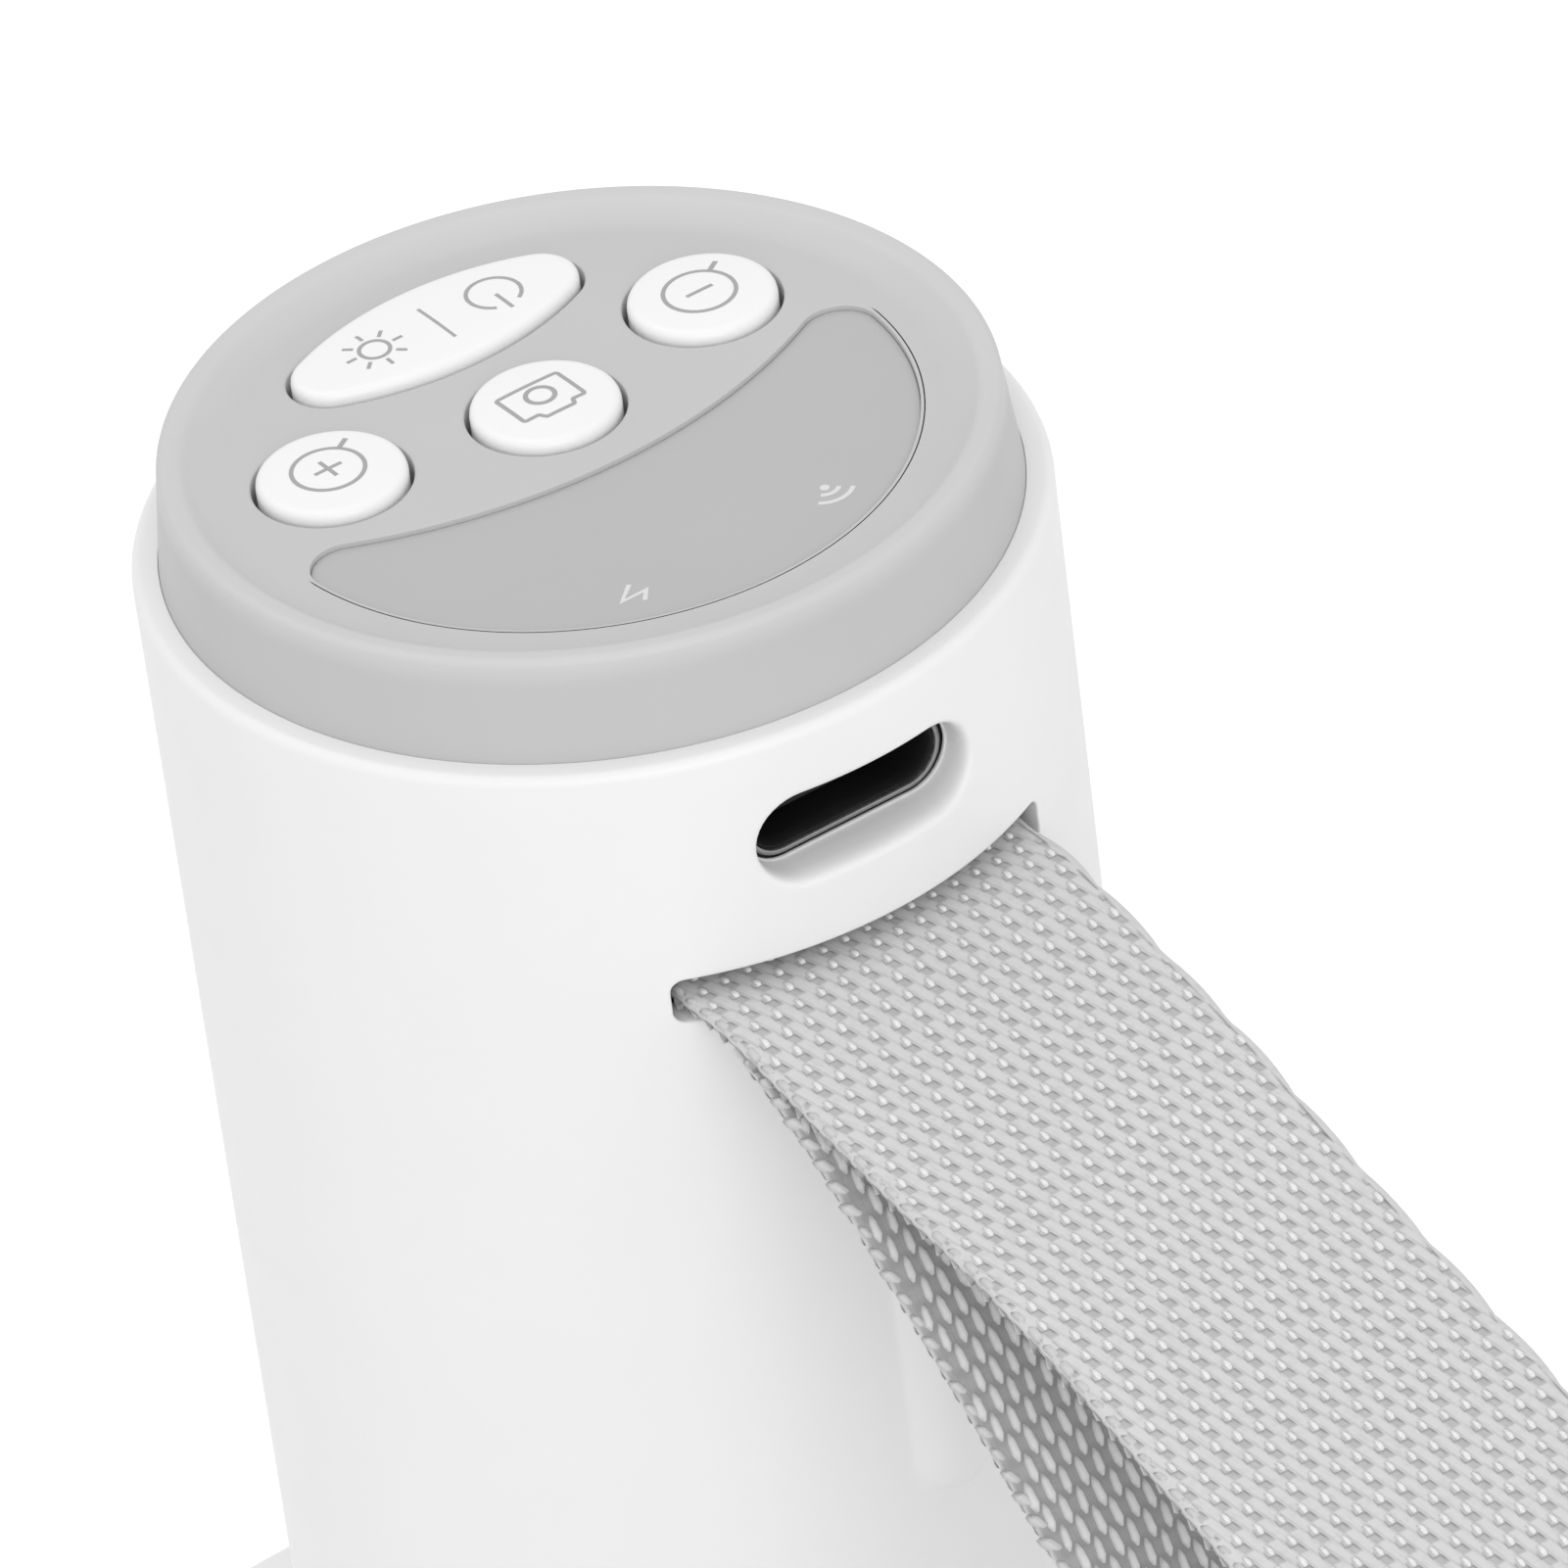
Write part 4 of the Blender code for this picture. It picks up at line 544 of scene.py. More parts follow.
def new_finish(name, **sockets):
    finish = bpy.data.materials.new(name)
    finish.use_nodes = True
    shader = finish.node_tree.nodes["Principled BSDF"]
    for socket, value in sockets.items():
        shader.inputs[socket.replace("_", " ")].default_value = value
    return finish, finish.node_tree, shader


def own_coordinates(tree):
    return node(tree, "ShaderNodeTexCoord").outputs["Object"]


def noise(tree, scale, detail=2.0, source=None):
    """Noise of the given scale, over the piece's own coordinates unless it has a source."""
    return signal(tree, "ShaderNodeTexNoise", "Fac", {
        "Scale": scale, "Detail": detail,
        "Vector": own_coordinates(tree) if source is None else source,
    })


def gloss(tree, shader, value, low, high):
    """Spreads a noise value between two limits of the shader's roughness."""
    spaced = signal(tree, "ShaderNodeMapRange", "Result", {
        "Value": value, "From Min": 0.3, "From Max": 0.7, "To Min": low, "To Max": high,
    })
    tree.links.new(spaced.socket, shader.inputs["Roughness"])


def ramp(tree, value, stops):
    """The colour of a value on a ramp of (place, colour) stops."""
    made = node(tree, "ShaderNodeValToRGB", {"Fac": value})
    elements = made.color_ramp.elements
    while len(elements) < len(stops):
        elements.new(0.5)
    for element, (place, colour) in zip(elements, stops):
        element.position = place
        element.color = colour
    return made.outputs["Color"]


def shades(tree, shader, value, stops):
    """Gives the shader its colour from a value on a ramp."""
    tree.links.new(ramp(tree, value, stops), shader.inputs["Base Color"])


def mixed(tree, share, first, second, **settings):
    feeds = {0: share, 6: first, 7: second}
    return node(tree, "ShaderNodeMix", feeds, data_type="RGBA", **settings).outputs[2]


def bumped(tree, shader, value, depth_um):
    feeds = {"Strength": 1.0, "Distance": depth_um * 1e-6, "Height": value}
    tree.links.new(node(tree, "ShaderNodeBump", feeds).outputs[0], shader.inputs["Normal"])


def moulded(name, grey, roughness, grain=5200.0, depth_um=1.2, mottle=0.012, warmth=0.0, **sockets):
    """Moulded plastic: a fine mould grain, a faint mottle and slightly uneven gloss."""
    finish, tree, shader = new_finish(name, **sockets)
    light = tone(grey, warmth)
    shades(tree, shader, noise(tree, 160, 4), [(0.3, darker(light, 1 - mottle)), (0.7, light)])
    gloss(tree, shader, noise(tree, 420, 3), roughness - 0.04, roughness + 0.04)
    bumped(tree, shader, noise(tree, grain, 3), depth_um)
    return finish


def cap_finish(name):
    """The cap's moulded plastic, darkened on its skirt below the top by painted shade."""
    finish = moulded(name, 207, 0.48, grain=6400, depth_um=2.0, mottle=0.02)
    tree = finish.node_tree
    shader = tree.nodes["Principled BSDF"]
    mottled = shader.inputs["Base Color"].links[0].from_socket
    # Painted shade: the colour is multiplied down to 0.87 on the cap's skirt, below its top.
    height = signal(tree, "ShaderNodeSeparateXYZ", "Z", {0: own_coordinates(tree)})
    share = rise(height, (CAP_TOP_Z - 1.3) * MM, (CAP_TOP_Z - 0.1) * MM)
    painted_skirt_shade = ramp(tree, share, [(0.0, darker(WHITE, 0.87)), (1.0, WHITE)])
    both = mixed(tree, 1.0, mottled, painted_skirt_shade, blend_type="MULTIPLY")
    tree.links.new(both, shader.inputs["Base Color"])
    return finish


def brushed(name, colour, roughness, streak=(1, 1, 12), scale=900.0, depth_um=0.8):
    """Metal with fine drawn streaks."""
    finish, tree, shader = new_finish(name, Metallic=1.0)
    drawn = node(tree, "ShaderNodeMapping", {"Scale": streak, "Vector": own_coordinates(tree)})
    streaks = noise(tree, scale, 4, drawn.outputs["Vector"])
    shades(tree, shader, streaks, [(0.3, darker(colour, 0.86)), (0.7, colour)])
    gloss(tree, shader, streaks, roughness - 0.05, roughness + 0.08)
    bumped(tree, shader, streaks, depth_um)
    return finish


def clear_finish(name, colour, roughness, ior):
    """Clear plastic or glass with a trace of haze."""
    finish, tree, shader = new_finish(name, Transmission_Weight=1.0, IOR=ior)
    haze = noise(tree, 300, 3)
    pale = (*(min(1.0, c * 1.02) for c in colour[:3]), 1.0)
    shades(tree, shader, haze, [(0.3, colour), (0.7, pale)])
    gloss(tree, shader, haze, roughness, roughness + 0.03)
    return finish


def board_finish(name):
    """Green circuit board with copper runs under its lacquer."""
    finish, tree, shader = new_finish(name, Coat_Weight=0.4, Coat_Roughness=0.2)
    runs = node(tree, "ShaderNodeTexVoronoi", {"Vector": own_coordinates(tree), "Scale": 420},
                distance="MANHATTAN", feature="DISTANCE_TO_EDGE").outputs["Distance"]
    green, trace = (0.012, 0.085, 0.03, 1), (0.03, 0.17, 0.06, 1)
    shades(tree, shader, runs, [(0.03, trace), (0.05, green)])
    gloss(tree, shader, noise(tree, 700), 0.35, 0.5)
    bumped(tree, shader, runs, 12)
    return finish


def filaments(tree, scale, distortion):
    """Fine lines along the strap, by its UV map."""
    return signal(tree, "ShaderNodeTexWave", "Fac", {
        "Vector": node(tree, "ShaderNodeUVMap").outputs["UV"], "Scale": scale,
        "Distortion": distortion,
    }, bands_direction="X")


def yarn_finish(name, stops, roughness):
    """Spun polyester yarn: colour from the crown attribute's painted highlight and painted shade,
    and filaments along it.
    """
    finish, tree, shader = new_finish(
        name, Sheen_Weight=0.12, Sheen_Roughness=0.5, Specular_IOR_Level=0.45
    )
    crown = node(tree, "ShaderNodeAttribute", attribute_name="crown").outputs["Fac"]
    # Painted light: the crown attribute lights the crests and shades the yarn's ends and sides.
    shades(tree, shader, crown, stops)
    gloss(tree, shader, noise(tree, 2500), roughness - 0.08, roughness + 0.08)
    bumped(tree, shader, filaments(tree, 6.0, 1.5), 8)
    return finish


def web_finish(name):
    """The woven web. Its face is darkened by painted shade in a hollow beside every knuckle of
    yarn, in a fine shadow line down each side of the knuckle, on the knuckle's left flank and in
    furrows between the rows; the same values also raise its bump. Its back is plain under its
    floats. A broken dark line of painted shade, in the crease by the weave, runs down its right
    edge."""
    finish, tree, shader = new_finish(name, Sheen_Weight=0.1, Sheen_Roughness=0.5)
    place = {0: node(tree, "ShaderNodeUVMap").outputs["UV"]}
    across = signal(tree, "ShaderNodeSeparateXYZ", "X", place)
    along = signal(tree, "ShaderNodeSeparateXYZ", "Y", place)
    from_edge = across + STRAP_WIDTH / 2

    # Place within one cell of the weave: s across it and t along it
    lean = -ROW_SHIFT * COLUMN_PITCH / PICK_PITCH
    t = repeat(along, PICK_PITCH, 0.42)
    s = repeat(from_edge + along * lean, COLUMN_PITCH, 0.4) - t * lean

    # Painted shade, which also raises the bump: the hollow beside each knuckle, darkest in its
    # shadow, a shadow line down each side of the knuckle, the knuckle's shaded left flank and the
    # furrows between rows.
    from_left = s - (t * 0.25 - 0.22)
    to_right = t * 0.3 + 0.165 - s
    shadow = maths("MAXIMUM", fall(t, 0.1, 0.2) * 0.6,
                   fall(to_right, 0.03, 0.15) * fall(t, 0.25, 0.5))
    hollow_shade = ((shadow * 0.5 + 0.32) * rise(from_left, -0.03, 0.05) * rise(to_right, -0.03, 0.03)
              * rise(t, 0.03, 0.1) * fall(t, 0.44, 0.57))
    right_shadow_line = (fall(abs(s - (t * 0.08 + 0.15)), 0.015, 0.05) * rise(t, -0.39, -0.25)
                  * fall(t, 0.0, 0.1) * 0.34)
    left_shadow_line = (fall(abs(s + 0.225), 0.01, 0.05) * rise(t, -0.28, -0.1) * fall(t, 0.1, 0.2)
                 * 0.48)
    flank = (rise(s, -0.22, -0.16) * fall(s, -0.08, -0.02) * rise(t, -0.36, -0.15)
             * fall(t, 0.02, 0.1) * 0.2)
    slope = (0.5 + ROW_SHIFT) * COLUMN_PITCH / PICK_PITCH
    furrow_shade = rise(abs(repeat(from_edge - along * slope, COLUMN_PITCH / 2, 0.5)), 0.13, 0.25) * 0.16
    woven = fall(across, WEAVE_EDGE, WEAVE_EDGE + 0.1) * rise(across, -7.9, -7.8)
    # Painted shade: a broken dark line in the crease along the right edge.
    seam = (fall(abs(across - (WEAVE_EDGE + 0.06)), 0.02, 0.09) * rise(noise(tree, 900), 0.4, 0.6)
            * 0.6)
    crown = 1.0 - (woven * (hollow_shade + right_shadow_line + left_shadow_line + flank + furrow_shade) + seam)

    drawn = node(tree, "ShaderNodeCombineXYZ", {0: across * 8.0 - along * 2.4, 1: along}).outputs[0]
    streaks = noise(tree, 1.2, 3, drawn) * 0.3 - 0.15
    tufts = noise(tree, 2600, 3) * 0.3 - 0.15
    # The face's colour darkens as crown falls, from the light yarn into painted shade.
    face = ramp(tree, crown + streaks + tufts, [
        (0.0, tone(118)), (0.2, tone(146)), (0.66, tone(183)), (0.88, tone(202)), (1.0, tone(214)),
    ])
    bars = fall(abs(repeat(along, PICK_PITCH, 0.5)), 0.1, 0.4)
    back = ramp(tree, bars + tufts, [(0.0, tone(164)), (1.0, tone(176))])
    side = node(tree, "ShaderNodeAttribute", attribute_name="face").outputs["Fac"]
    tree.links.new(mixed(tree, side, back, face), shader.inputs["Base Color"])
    bumped(tree, shader, crown + filaments(tree, math.tau / 20 / 0.12, 0.8) * 0.12, 22)
    gloss(tree, shader, noise(tree, 2500), 0.55, 0.7)
    return finish


def make_finishes():
    steel = {"streak": (3, 1, 1), "scale": 3500}
    for made in (
        moulded("white_plastic", 243, 0.42),
        moulded("key_plastic", 248, 0.38, grain=7000, depth_um=0.8),
        cap_finish("cap_plastic"),
        moulded("panel_plastic", 186, 0.4, grain=7000, depth_um=0.9),
        moulded("ring_plastic", 205, 0.45, depth_um=1.8),
        moulded("stage_plastic", 246, 0.5, depth_um=1.5),
        moulded("black_plastic", 24, 0.55, depth_um=2.0, Specular_IOR_Level=0.25),
        moulded("inner_plastic", 70, 0.5, depth_um=2.0),
        moulded("chip_resin", 34, 0.55, grain=9000, depth_um=2.5),
        moulded("pad_rubber", 58, 0.75, grain=3800, depth_um=6.0, Specular_IOR_Level=0.3),
        moulded("cell_film", 150, 0.3, grain=900, depth_um=4.0, warmth=-0.03),
        moulded("ribbon_film", 150, 0.35, grain=1500, warmth=0.25),
        moulded("milky_plastic", 240, 0.35, warmth=0.01, Subsurface_Weight=0.3),
        moulded("mark_ink", 168, 0.5, grain=9000, depth_um=0.6),
        moulded("panel_ink", 226, 0.5, grain=9000, depth_um=0.6),
        brushed("tinned_steel", (0.4, 0.4, 0.395, 1), 0.38, **steel),
        brushed("screw_steel", (0.5, 0.5, 0.51, 1), 0.3, streak=(6, 6, 1)),
        brushed("barrel_aluminium", (0.08, 0.08, 0.085, 1), 0.35),
        brushed("contact_gold", (0.85, 0.6, 0.25, 1), 0.25, streak=(12, 1, 1)),
        clear_finish("clear_plastic", (0.95, 0.96, 0.96, 1), 0.02, 1.49),
        clear_finish("lens_glass", (0.93, 0.97, 0.96, 1), 0.005, 1.6),
        board_finish("board_laminate"),
    ):
        FINISHES[plain_name(made)] = made


def plain_name(finish):
    """A material's name without the number that Blender adds to a name in use."""
    return finish.name.split(".")[0]


def dress_cad_nodes():
    """Gives every carried-over node the finish of its material slot."""
    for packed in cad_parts.values():
        for slot in packed.material_slots:
            known = plain_name(slot.material) if slot.material else ""
            slot.material = FINISHES.get(known, FINISHES["white_plastic"])


# Foot, hood and rings below the body


def make_tube(name, corners, rounding_steps, finish, body, stands_for, steps=ROUND_STEPS):
    """Makes a piece that is nothing but a turned ring."""
    tube = Shape()
    tube.tube(corners, rounding_steps, steps)
    make_piece(name, tube, finish, body, stands_for)


def make_foot():
    foot = Shape()
    foot.turn(rounded([
        (0, 3.0, 0), (14.9, 3.0, 0.25), (15.2, 3.3, 0.05), (15.2, 9.0, 0.35), (17.0, 9.0, 0.6),
        (17.0, 5.0, 0.9), (FOOT_R, 5.0, 0.7), (FOOT_R, 0.0, 0.45), (33.3, 0.0, 0.1),
        (33.3, 1.2, 0.1), (28.7, 1.2, 0.1), (28.7, 0.0, 0.1), (0, 0.0, 0),
    ]))
    make_piece("foot_moulding", foot, "white_plastic", "foot", "foot_disc")
    make_tube("foot_pad_ring", [
        (29.0, 0.9, 0), (29.0, 0.0, 0.25), (30.3, 0.0, 0.05), (30.45, 0.18, 0.05),
        (30.8, 0.18, 0.05), (30.95, 0.0, 0.05), (31.15, 0.0, 0.05), (31.3, 0.18, 0.05),
        (31.65, 0.18, 0.05), (31.8, 0.0, 0.05), (33.0, 0.0, 0.25), (33.0, 0.9, 0),
    ], 3, "pad_rubber", "foot", "foot_pad")
    stage = Shape()
    stage.turn(rounded([(0, 4.5, 0), (14.8, 4.5, 0.25), (14.8, 3.3, 0.25), (0, 3.3, 0)]))
    make_piece("stage_disc", stage, "stage_plastic", "foot", "stage_plate")


def make_hood():
    make_tube("contact_hood", [
        (13.3, 13.3, 0.1), (13.3, 12.0, 0.05), (15.6, 12.0, 0.12), (15.6, 11.0, 0.12),
        (14.8, 11.0, 0.1), (14.8, 4.8, 0.35), (13.3, 4.8, 0.3), (13.3, 11.0, 0.1),
        (12.0, 12.0, 0.1), (12.0, 13.3, 0.1),
    ], 4, "clear_plastic", "microscope", "clear_hood")
    make_tube("hood_clamp_ring", [
        (16.5, 14.0, 0.1), (16.5, 12.0, 0.05), (17.3, 12.0, 0.25), (17.3, 10.7, 0.25),
        (16.6, 10.0, 0.25), (15.1, 10.0, 0.15), (15.1, 10.7, 0.05), (15.9, 10.7, 0.05),
        (15.9, 14.0, 0.1),
    ], 4, "white_plastic", "microscope", "nose_ring")


def make_lens_unit():
    barrel = Shape()
    barrel.tube([
        (8.0, 23.0, 0.25), (8.0, 12.0, 0.3), (7.2, 12.0, 0.08), (7.0, 12.25, 0.08),
        (6.4, 12.25, 0.08), (6.2, 12.6, 0.08), (5.8, 12.7, 0.05), (5.8, 17.2, 0.02),
        (4.8, 17.2, 0.05), (4.8, 19.2, 0.05), (5.8, 19.2, 0.02), (5.8, 23.0, 0.15),
    ], 4, FINE_STEPS)
    pin = [(6.9, 0.8), (15.5, 0.8), (15.6, 0.7)]
    loops = [barrel.loop([(x, y, PIN_Z + z) for x, z in circle((0, 0), radius, 24)])
             for y, radius in pin]
    barrel.chain(loops)
    for loop, (y, _) in ((loops[0], pin[0]), (loops[-1], pin[-1])):
        barrel.fan(loop, (0, y, PIN_Z))
    make_piece("lens_mount", barrel, "barrel_aluminium", "lens_carrier", "lens_barrel")
    sphere = (LENS_R**2 + LENS_BULGE**2) / (2 * LENS_BULGE)
    half = math.degrees(math.asin(LENS_R / sphere))
    for end, bottom in (("front", 15.5), ("rear", 19.5)):
        lens = Shape()
        top = arc((0, bottom + LENS_EDGE + LENS_BULGE - sphere), sphere, 90, 90 - half, 16)
        low = arc((0, bottom - LENS_BULGE + sphere), sphere, half - 90, -90, 16)
        top[0], low[-1] = (0, top[0][1]), (0, low[-1][1])
        lens.turn(top + low, FINE_STEPS)
        make_piece(end + "_glass", lens, "lens_glass", "lens_carrier", end + "_lens")
    make_tube("lens_keeper", [
        (5.5, 15.2, 0.05), (5.5, 14.2, 0.1), (5.25, 14.2, 0.08), (4.9, 14.6, 0.08),
        (4.9, 15.2, 0.05),
    ], 3, "black_plastic", "lens_carrier", "lens_retainer", FINE_STEPS)


def middle_of(packed):
    """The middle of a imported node's box, seen from above."""
    low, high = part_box(packed)
    return (low[0] + high[0]) / 2 / MM, (low[1] + high[1]) / 2 / MM


def make_ring_light():
    make_tube("ring_light_board", [
        (13.3, 14.8, 0.05), (13.3, 13.6, 0.05), (8.6, 13.6, 0.05), (8.6, 14.8, 0.05),
    ], 2, "board_laminate", "microscope", "lamp_board", FINE_STEPS)
    for i in range(1, RING_LAMPS + 1):
        lamp = Shape()
        dome = arc((0, 13.1), 0.9, 0, -90, 10)
        dome[-1] = (0, dome[-1][1])
        profile = [(0, 13.3), (0.84, 13.3), (0.9, 13.24), *dome]
        lamp.turn(profile, SMALL_STEPS, middle_of(f"ring_lamp_{i}"))
        make_piece(f"ring_light_{i}", lamp, "milky_plastic", "microscope", f"ring_lamp_{i}")


# Body shell with its pocket, slot and rib


def on_wall(x, z, depth=0.0, radius=BODY_R):
    """The point of the wall straight behind (x, z) seen along the port, and deeper in by depth."""
    return (x, depth - math.sqrt(radius**2 - x**2), z)


def round_wall(radius, angle, z):
    """The point of a round wall at an angle from its front."""
    return radius * math.sin(angle), -radius * math.cos(angle), z


def wall_ring(radius, z):
    """A ring of points from back seam to back seam, which meet in one line."""
    angles = [math.pi * (2 * i / ROUND_STEPS - 1) for i in range(ROUND_STEPS + 1)]
    return [round_wall(radius, angle, z) for angle in angles]


def wall_rings(shell, profile):
    """Joined rings along a profile of (radius, height), open at the back seam."""
    rings = [shell.loop(wall_ring(radius, z)) for radius, z in profile]
    shell.chain(rings, closed=False)
    return rings


def fill_wall(shell, radius, low, high, holes, spacing):
    """Fills a round wall between two open rings, round the holes in it. The wall is rolled out
    flat from its back seam, with places on it as (distance round it, height)."""
    edge = math.pi * radius
    bottom, top = (shell.points[ring[0]][2] for ring in (low, high))
    heights = [bottom + (top - bottom) * i / SEAM_STEPS for i in range(1, SEAM_STEPS)]
    up = shell.loop([round_wall(radius, math.pi, z) for z in heights])
    down = shell.loop([round_wall(radius, -math.pi, z) for z in reversed(heights)])
    seam = dict.fromkeys([low[0], high[0], *down], -edge)
    seam.update(dict.fromkeys([low[-1], high[-1], *up], edge))

    def flat(i):
        x, y, z = shell.points[i]
        return seam.get(i, radius * math.atan2(x, -y)), z

    def place(distance, z):
        return round_wall(radius, distance / radius, z)

    shell.fill([*low, *up, *reversed(high), *down], holes, flat, place, spacing)


def sunk_loops(shell, outline, steps):
    """Loops of an outline seen along the port, grown by the first number of a step and sunk into
    the wall by the second."""
    return [shell.loop([on_wall(x, z, depth) for x, z in outline(grow)]) for grow, depth in steps]


def pocket_loops(shell):
    """The port's pocket: a soft outer edge, a wall that runs in, and a crisp inner lip."""
    loops = sunk_loops(shell, pocket_outline, [
        (0.7, 0.0), (0.5, 0.0), (0.4, 0.015), (0.31, 0.06), (0.24, 0.14), (0.18, 0.26),
        (0.13, 0.42), (0.1, 0.6), (0.07, 0.85),
    ])
    lip_y = SOCKET_FRONT_Y - 0.04
    for grow, depth in [
        (0.055, 0.0), (0.05, -0.03), (0.035, -0.05), (0.015, -0.055), (0.0, -0.04), (-0.005, 0.0),
        (-0.005, 0.1), (0.1, 0.25),
    ]:
        loops.append(shell.loop([(x, lip_y + depth, z) for x, z in pocket_outline(grow)]))
    return loops


def pocket_outline(grow):
    width, height = PORT_SIZE
    points = stretched(pill(width + 2 * grow, height + 2 * grow), 0.35, pill(width, height))
    return [(x, z + PORT_Z) for x, z in points]


def slot_outline(grow):
    """The slot's outline about its middle, seen along the port."""
    width, height = SLOT_SIZE
    outlines = []
    for extra in (grow, 0.0):
        x, z, corner = width / 2 + extra, height / 2 + extra, 0.5 + extra
        corners = [(x, z, corner), (-x, z, corner), (-x, -z, corner), (x, -z, corner)]
        outlines.append(rounded(corners, 8, closed=True))
    return [(x, z + SLOT_TOP - height / 2) for x, z in stretched(outlines[0], 0.4, outlines[1])]


def rib_outline(grow):
    low, high = RIB_ENDS
    middle = (low + high) / 2
    points = pill(RIB_WIDTH + 2 * grow, high - low + 2 * grow)
    points = stretched(points, 0.5, pill(RIB_WIDTH, high - low))
    return [(x, z + middle) for x, z in points]


def make_body_shell():
    shell = Shape()
    pocket = pocket_loops(shell)
    slot = sunk_loops(shell, slot_outline, [
        (0.3, 0.0), (0.16, 0.0), (0.1, 0.01), (0.05, 0.04), (0.015, 0.09), (0.0, 0.16),
    ])
    rib = []
    for grow, lift in [
        (0.6, 0.0), (0.35, 0.0), (0.2, 0.012), (0.08, 0.05), (0.0, 0.12), (-0.08, 0.22),
        (-0.2, 0.35), (-0.38, 0.51), (-0.62, 0.68), (-0.92, 0.85), (-1.25, 0.98), (-1.6, 1.05),
    ]:
        rib.append(shell.loop([on_wall(x, z, 0.0, BODY_R + lift) for x, z in rib_outline(grow)]))
    for loops in (pocket, slot, rib):
        shell.chain(loops)
    shell.cover(rib[-1], upright=True)

    low, high = BODY_BOTTOM, BODY_TOP
    foot_rings = wall_rings(shell, rounded([
        (BORE_R, low, 0), (BODY_R, low, 0.5), (BODY_R, low + 2, 0),
    ], 8))
    head_rings = wall_rings(shell, rounded([
        (BODY_R, high - 2, 0), (BODY_R, high, 0.42), (MOUTH_R, high, 0.015),
        (MOUTH_R, high - 2.7, 0.05), (BORE_R, high - 2.7, 0.05), (BORE_R, high - 3.2, 0),
    ], 8))
    fill_wall(shell, BODY_R, foot_rings[-1], head_rings[0], [pocket[0], slot[0], rib[0]], 0.9)
    inner_rings = wall_rings(shell, rounded([
        (BORE_R, low, 0), (BORE_R, 27.0, 0.05), (12.9, 27.0, 0.1), (12.9, 28.2, 0.1),
        (BORE_R, 28.2, 0.1), (BORE_R, 29.5, 0),
    ], 3))
    holes = []
    for loops, outline in ((pocket, pocket_outline(0.15)), (slot, slot_outline(0.0))):
        holes.append(shell.loop([on_wall(x, z, 0.0, BORE_R) for x, z in outline]))
        shell.bridge(loops[-1], holes[-1])
    fill_wall(shell, BORE_R, inner_rings[-1], head_rings[-1], holes, 1.6)
    make_piece("body_housing", shell, "white_plastic", "microscope", "body_shell")


# Cap, panel and keys


def make_cap():
    cap = Shape()
    rings = cap.turn(rounded([
        (12.95, FACE_Z, 0), (14.3, FACE_Z, 1.8), (15.15, CAP_TOP_Z - 0.09, 0.7),
        (15.96, CAP_TOP_Z, 0.32), (16.45, BODY_TOP - 0.1, 0.1), (16.45, BODY_TOP - 2.4, 0.15),
        (15.0, BODY_TOP - 2.4, 0.1), (15.0, CAP_UNDER_Z, 0.3), (14.2, CAP_UNDER_Z, 0),
    ], 10))
    openings = [
        lambda grow, middle=middle: circle(middle, ROUND_KEY_R + KEY_GAP + grow)
        for middle in ROUND_KEYS.values()
    ]
    openings.append(lambda grow: leaf(KEY_GAP + grow))
    edge = [(0.2, 0.0), (0.1, 0.0), (0.05, -0.012), (0.018, -0.04), (0.0, -0.1), (0.0, -2.0)]
    holes = [cap.layers(opening, edge, FACE_Z) for opening in openings]
    recess = cap.layers(crescent, [
        (0.2, 0.0), (0.045, 0.0), (0.03, -0.006), (0.022, -0.018), (0.02, -0.04), (0.02, -1.4),
    ], FACE_Z)
    cap.cover(recess[-1])
    cap.cover(rings[0], [*(hole[0] for hole in holes), recess[0]])
    cap.cover(rings[-1], [hole[-1] for hole in holes])
    boss_low, boss_high = BODY_TOP - 6.41, CAP_UNDER_Z + 0.33
    for i in range(1, CAP_SCREWS + 1):
        cap.tube([
            (0.9, boss_low, 0.1), (1.6, boss_low, 0.1), (1.6, boss_high, 0), (0.9, boss_high, 0),
        ], 2, SMALL_STEPS, middle_of(f"cap_screw_{i}"))
    make_piece("keypad_cap", cap, "cap_plastic", "microscope", "top_cap", sharp=30)

    panel = Shape()
    loops = panel.layers(crescent, [
        (-0.3, 0.0), (-0.05, 0.0), (-0.02, -0.008), (-0.005, -0.025), (0.0, -0.05), (0.0, -0.8),
    ], PANEL_Z)
    panel.cover(loops[0])
    panel.cover(loops[-1])
    make_piece("crescent_window", panel, "panel_plastic", "microscope", "indicator_panel")


def round_key_height(centre):
    def height(x, y):
        share = math.hypot(x - centre[0], y - centre[1]) / ROUND_KEY_R
        return KEY_Z + KEY_CROWN * max(0.0, 1 - share**2)

    return height


def leaf_height(x, y):
    share = (x / LEAF_HALF_LENGTH) ** 2 + ((y - LEAF_Y) / LEAF_HALF_HEIGHT) ** 2
    return KEY_Z + KEY_CROWN * max(0.0, 1 - share)


def button_of(key):
    return key.replace("key", "button")


def make_key(name, shape):
    make_piece(name + "_top", shape, "key_plastic", button_of(name), name)


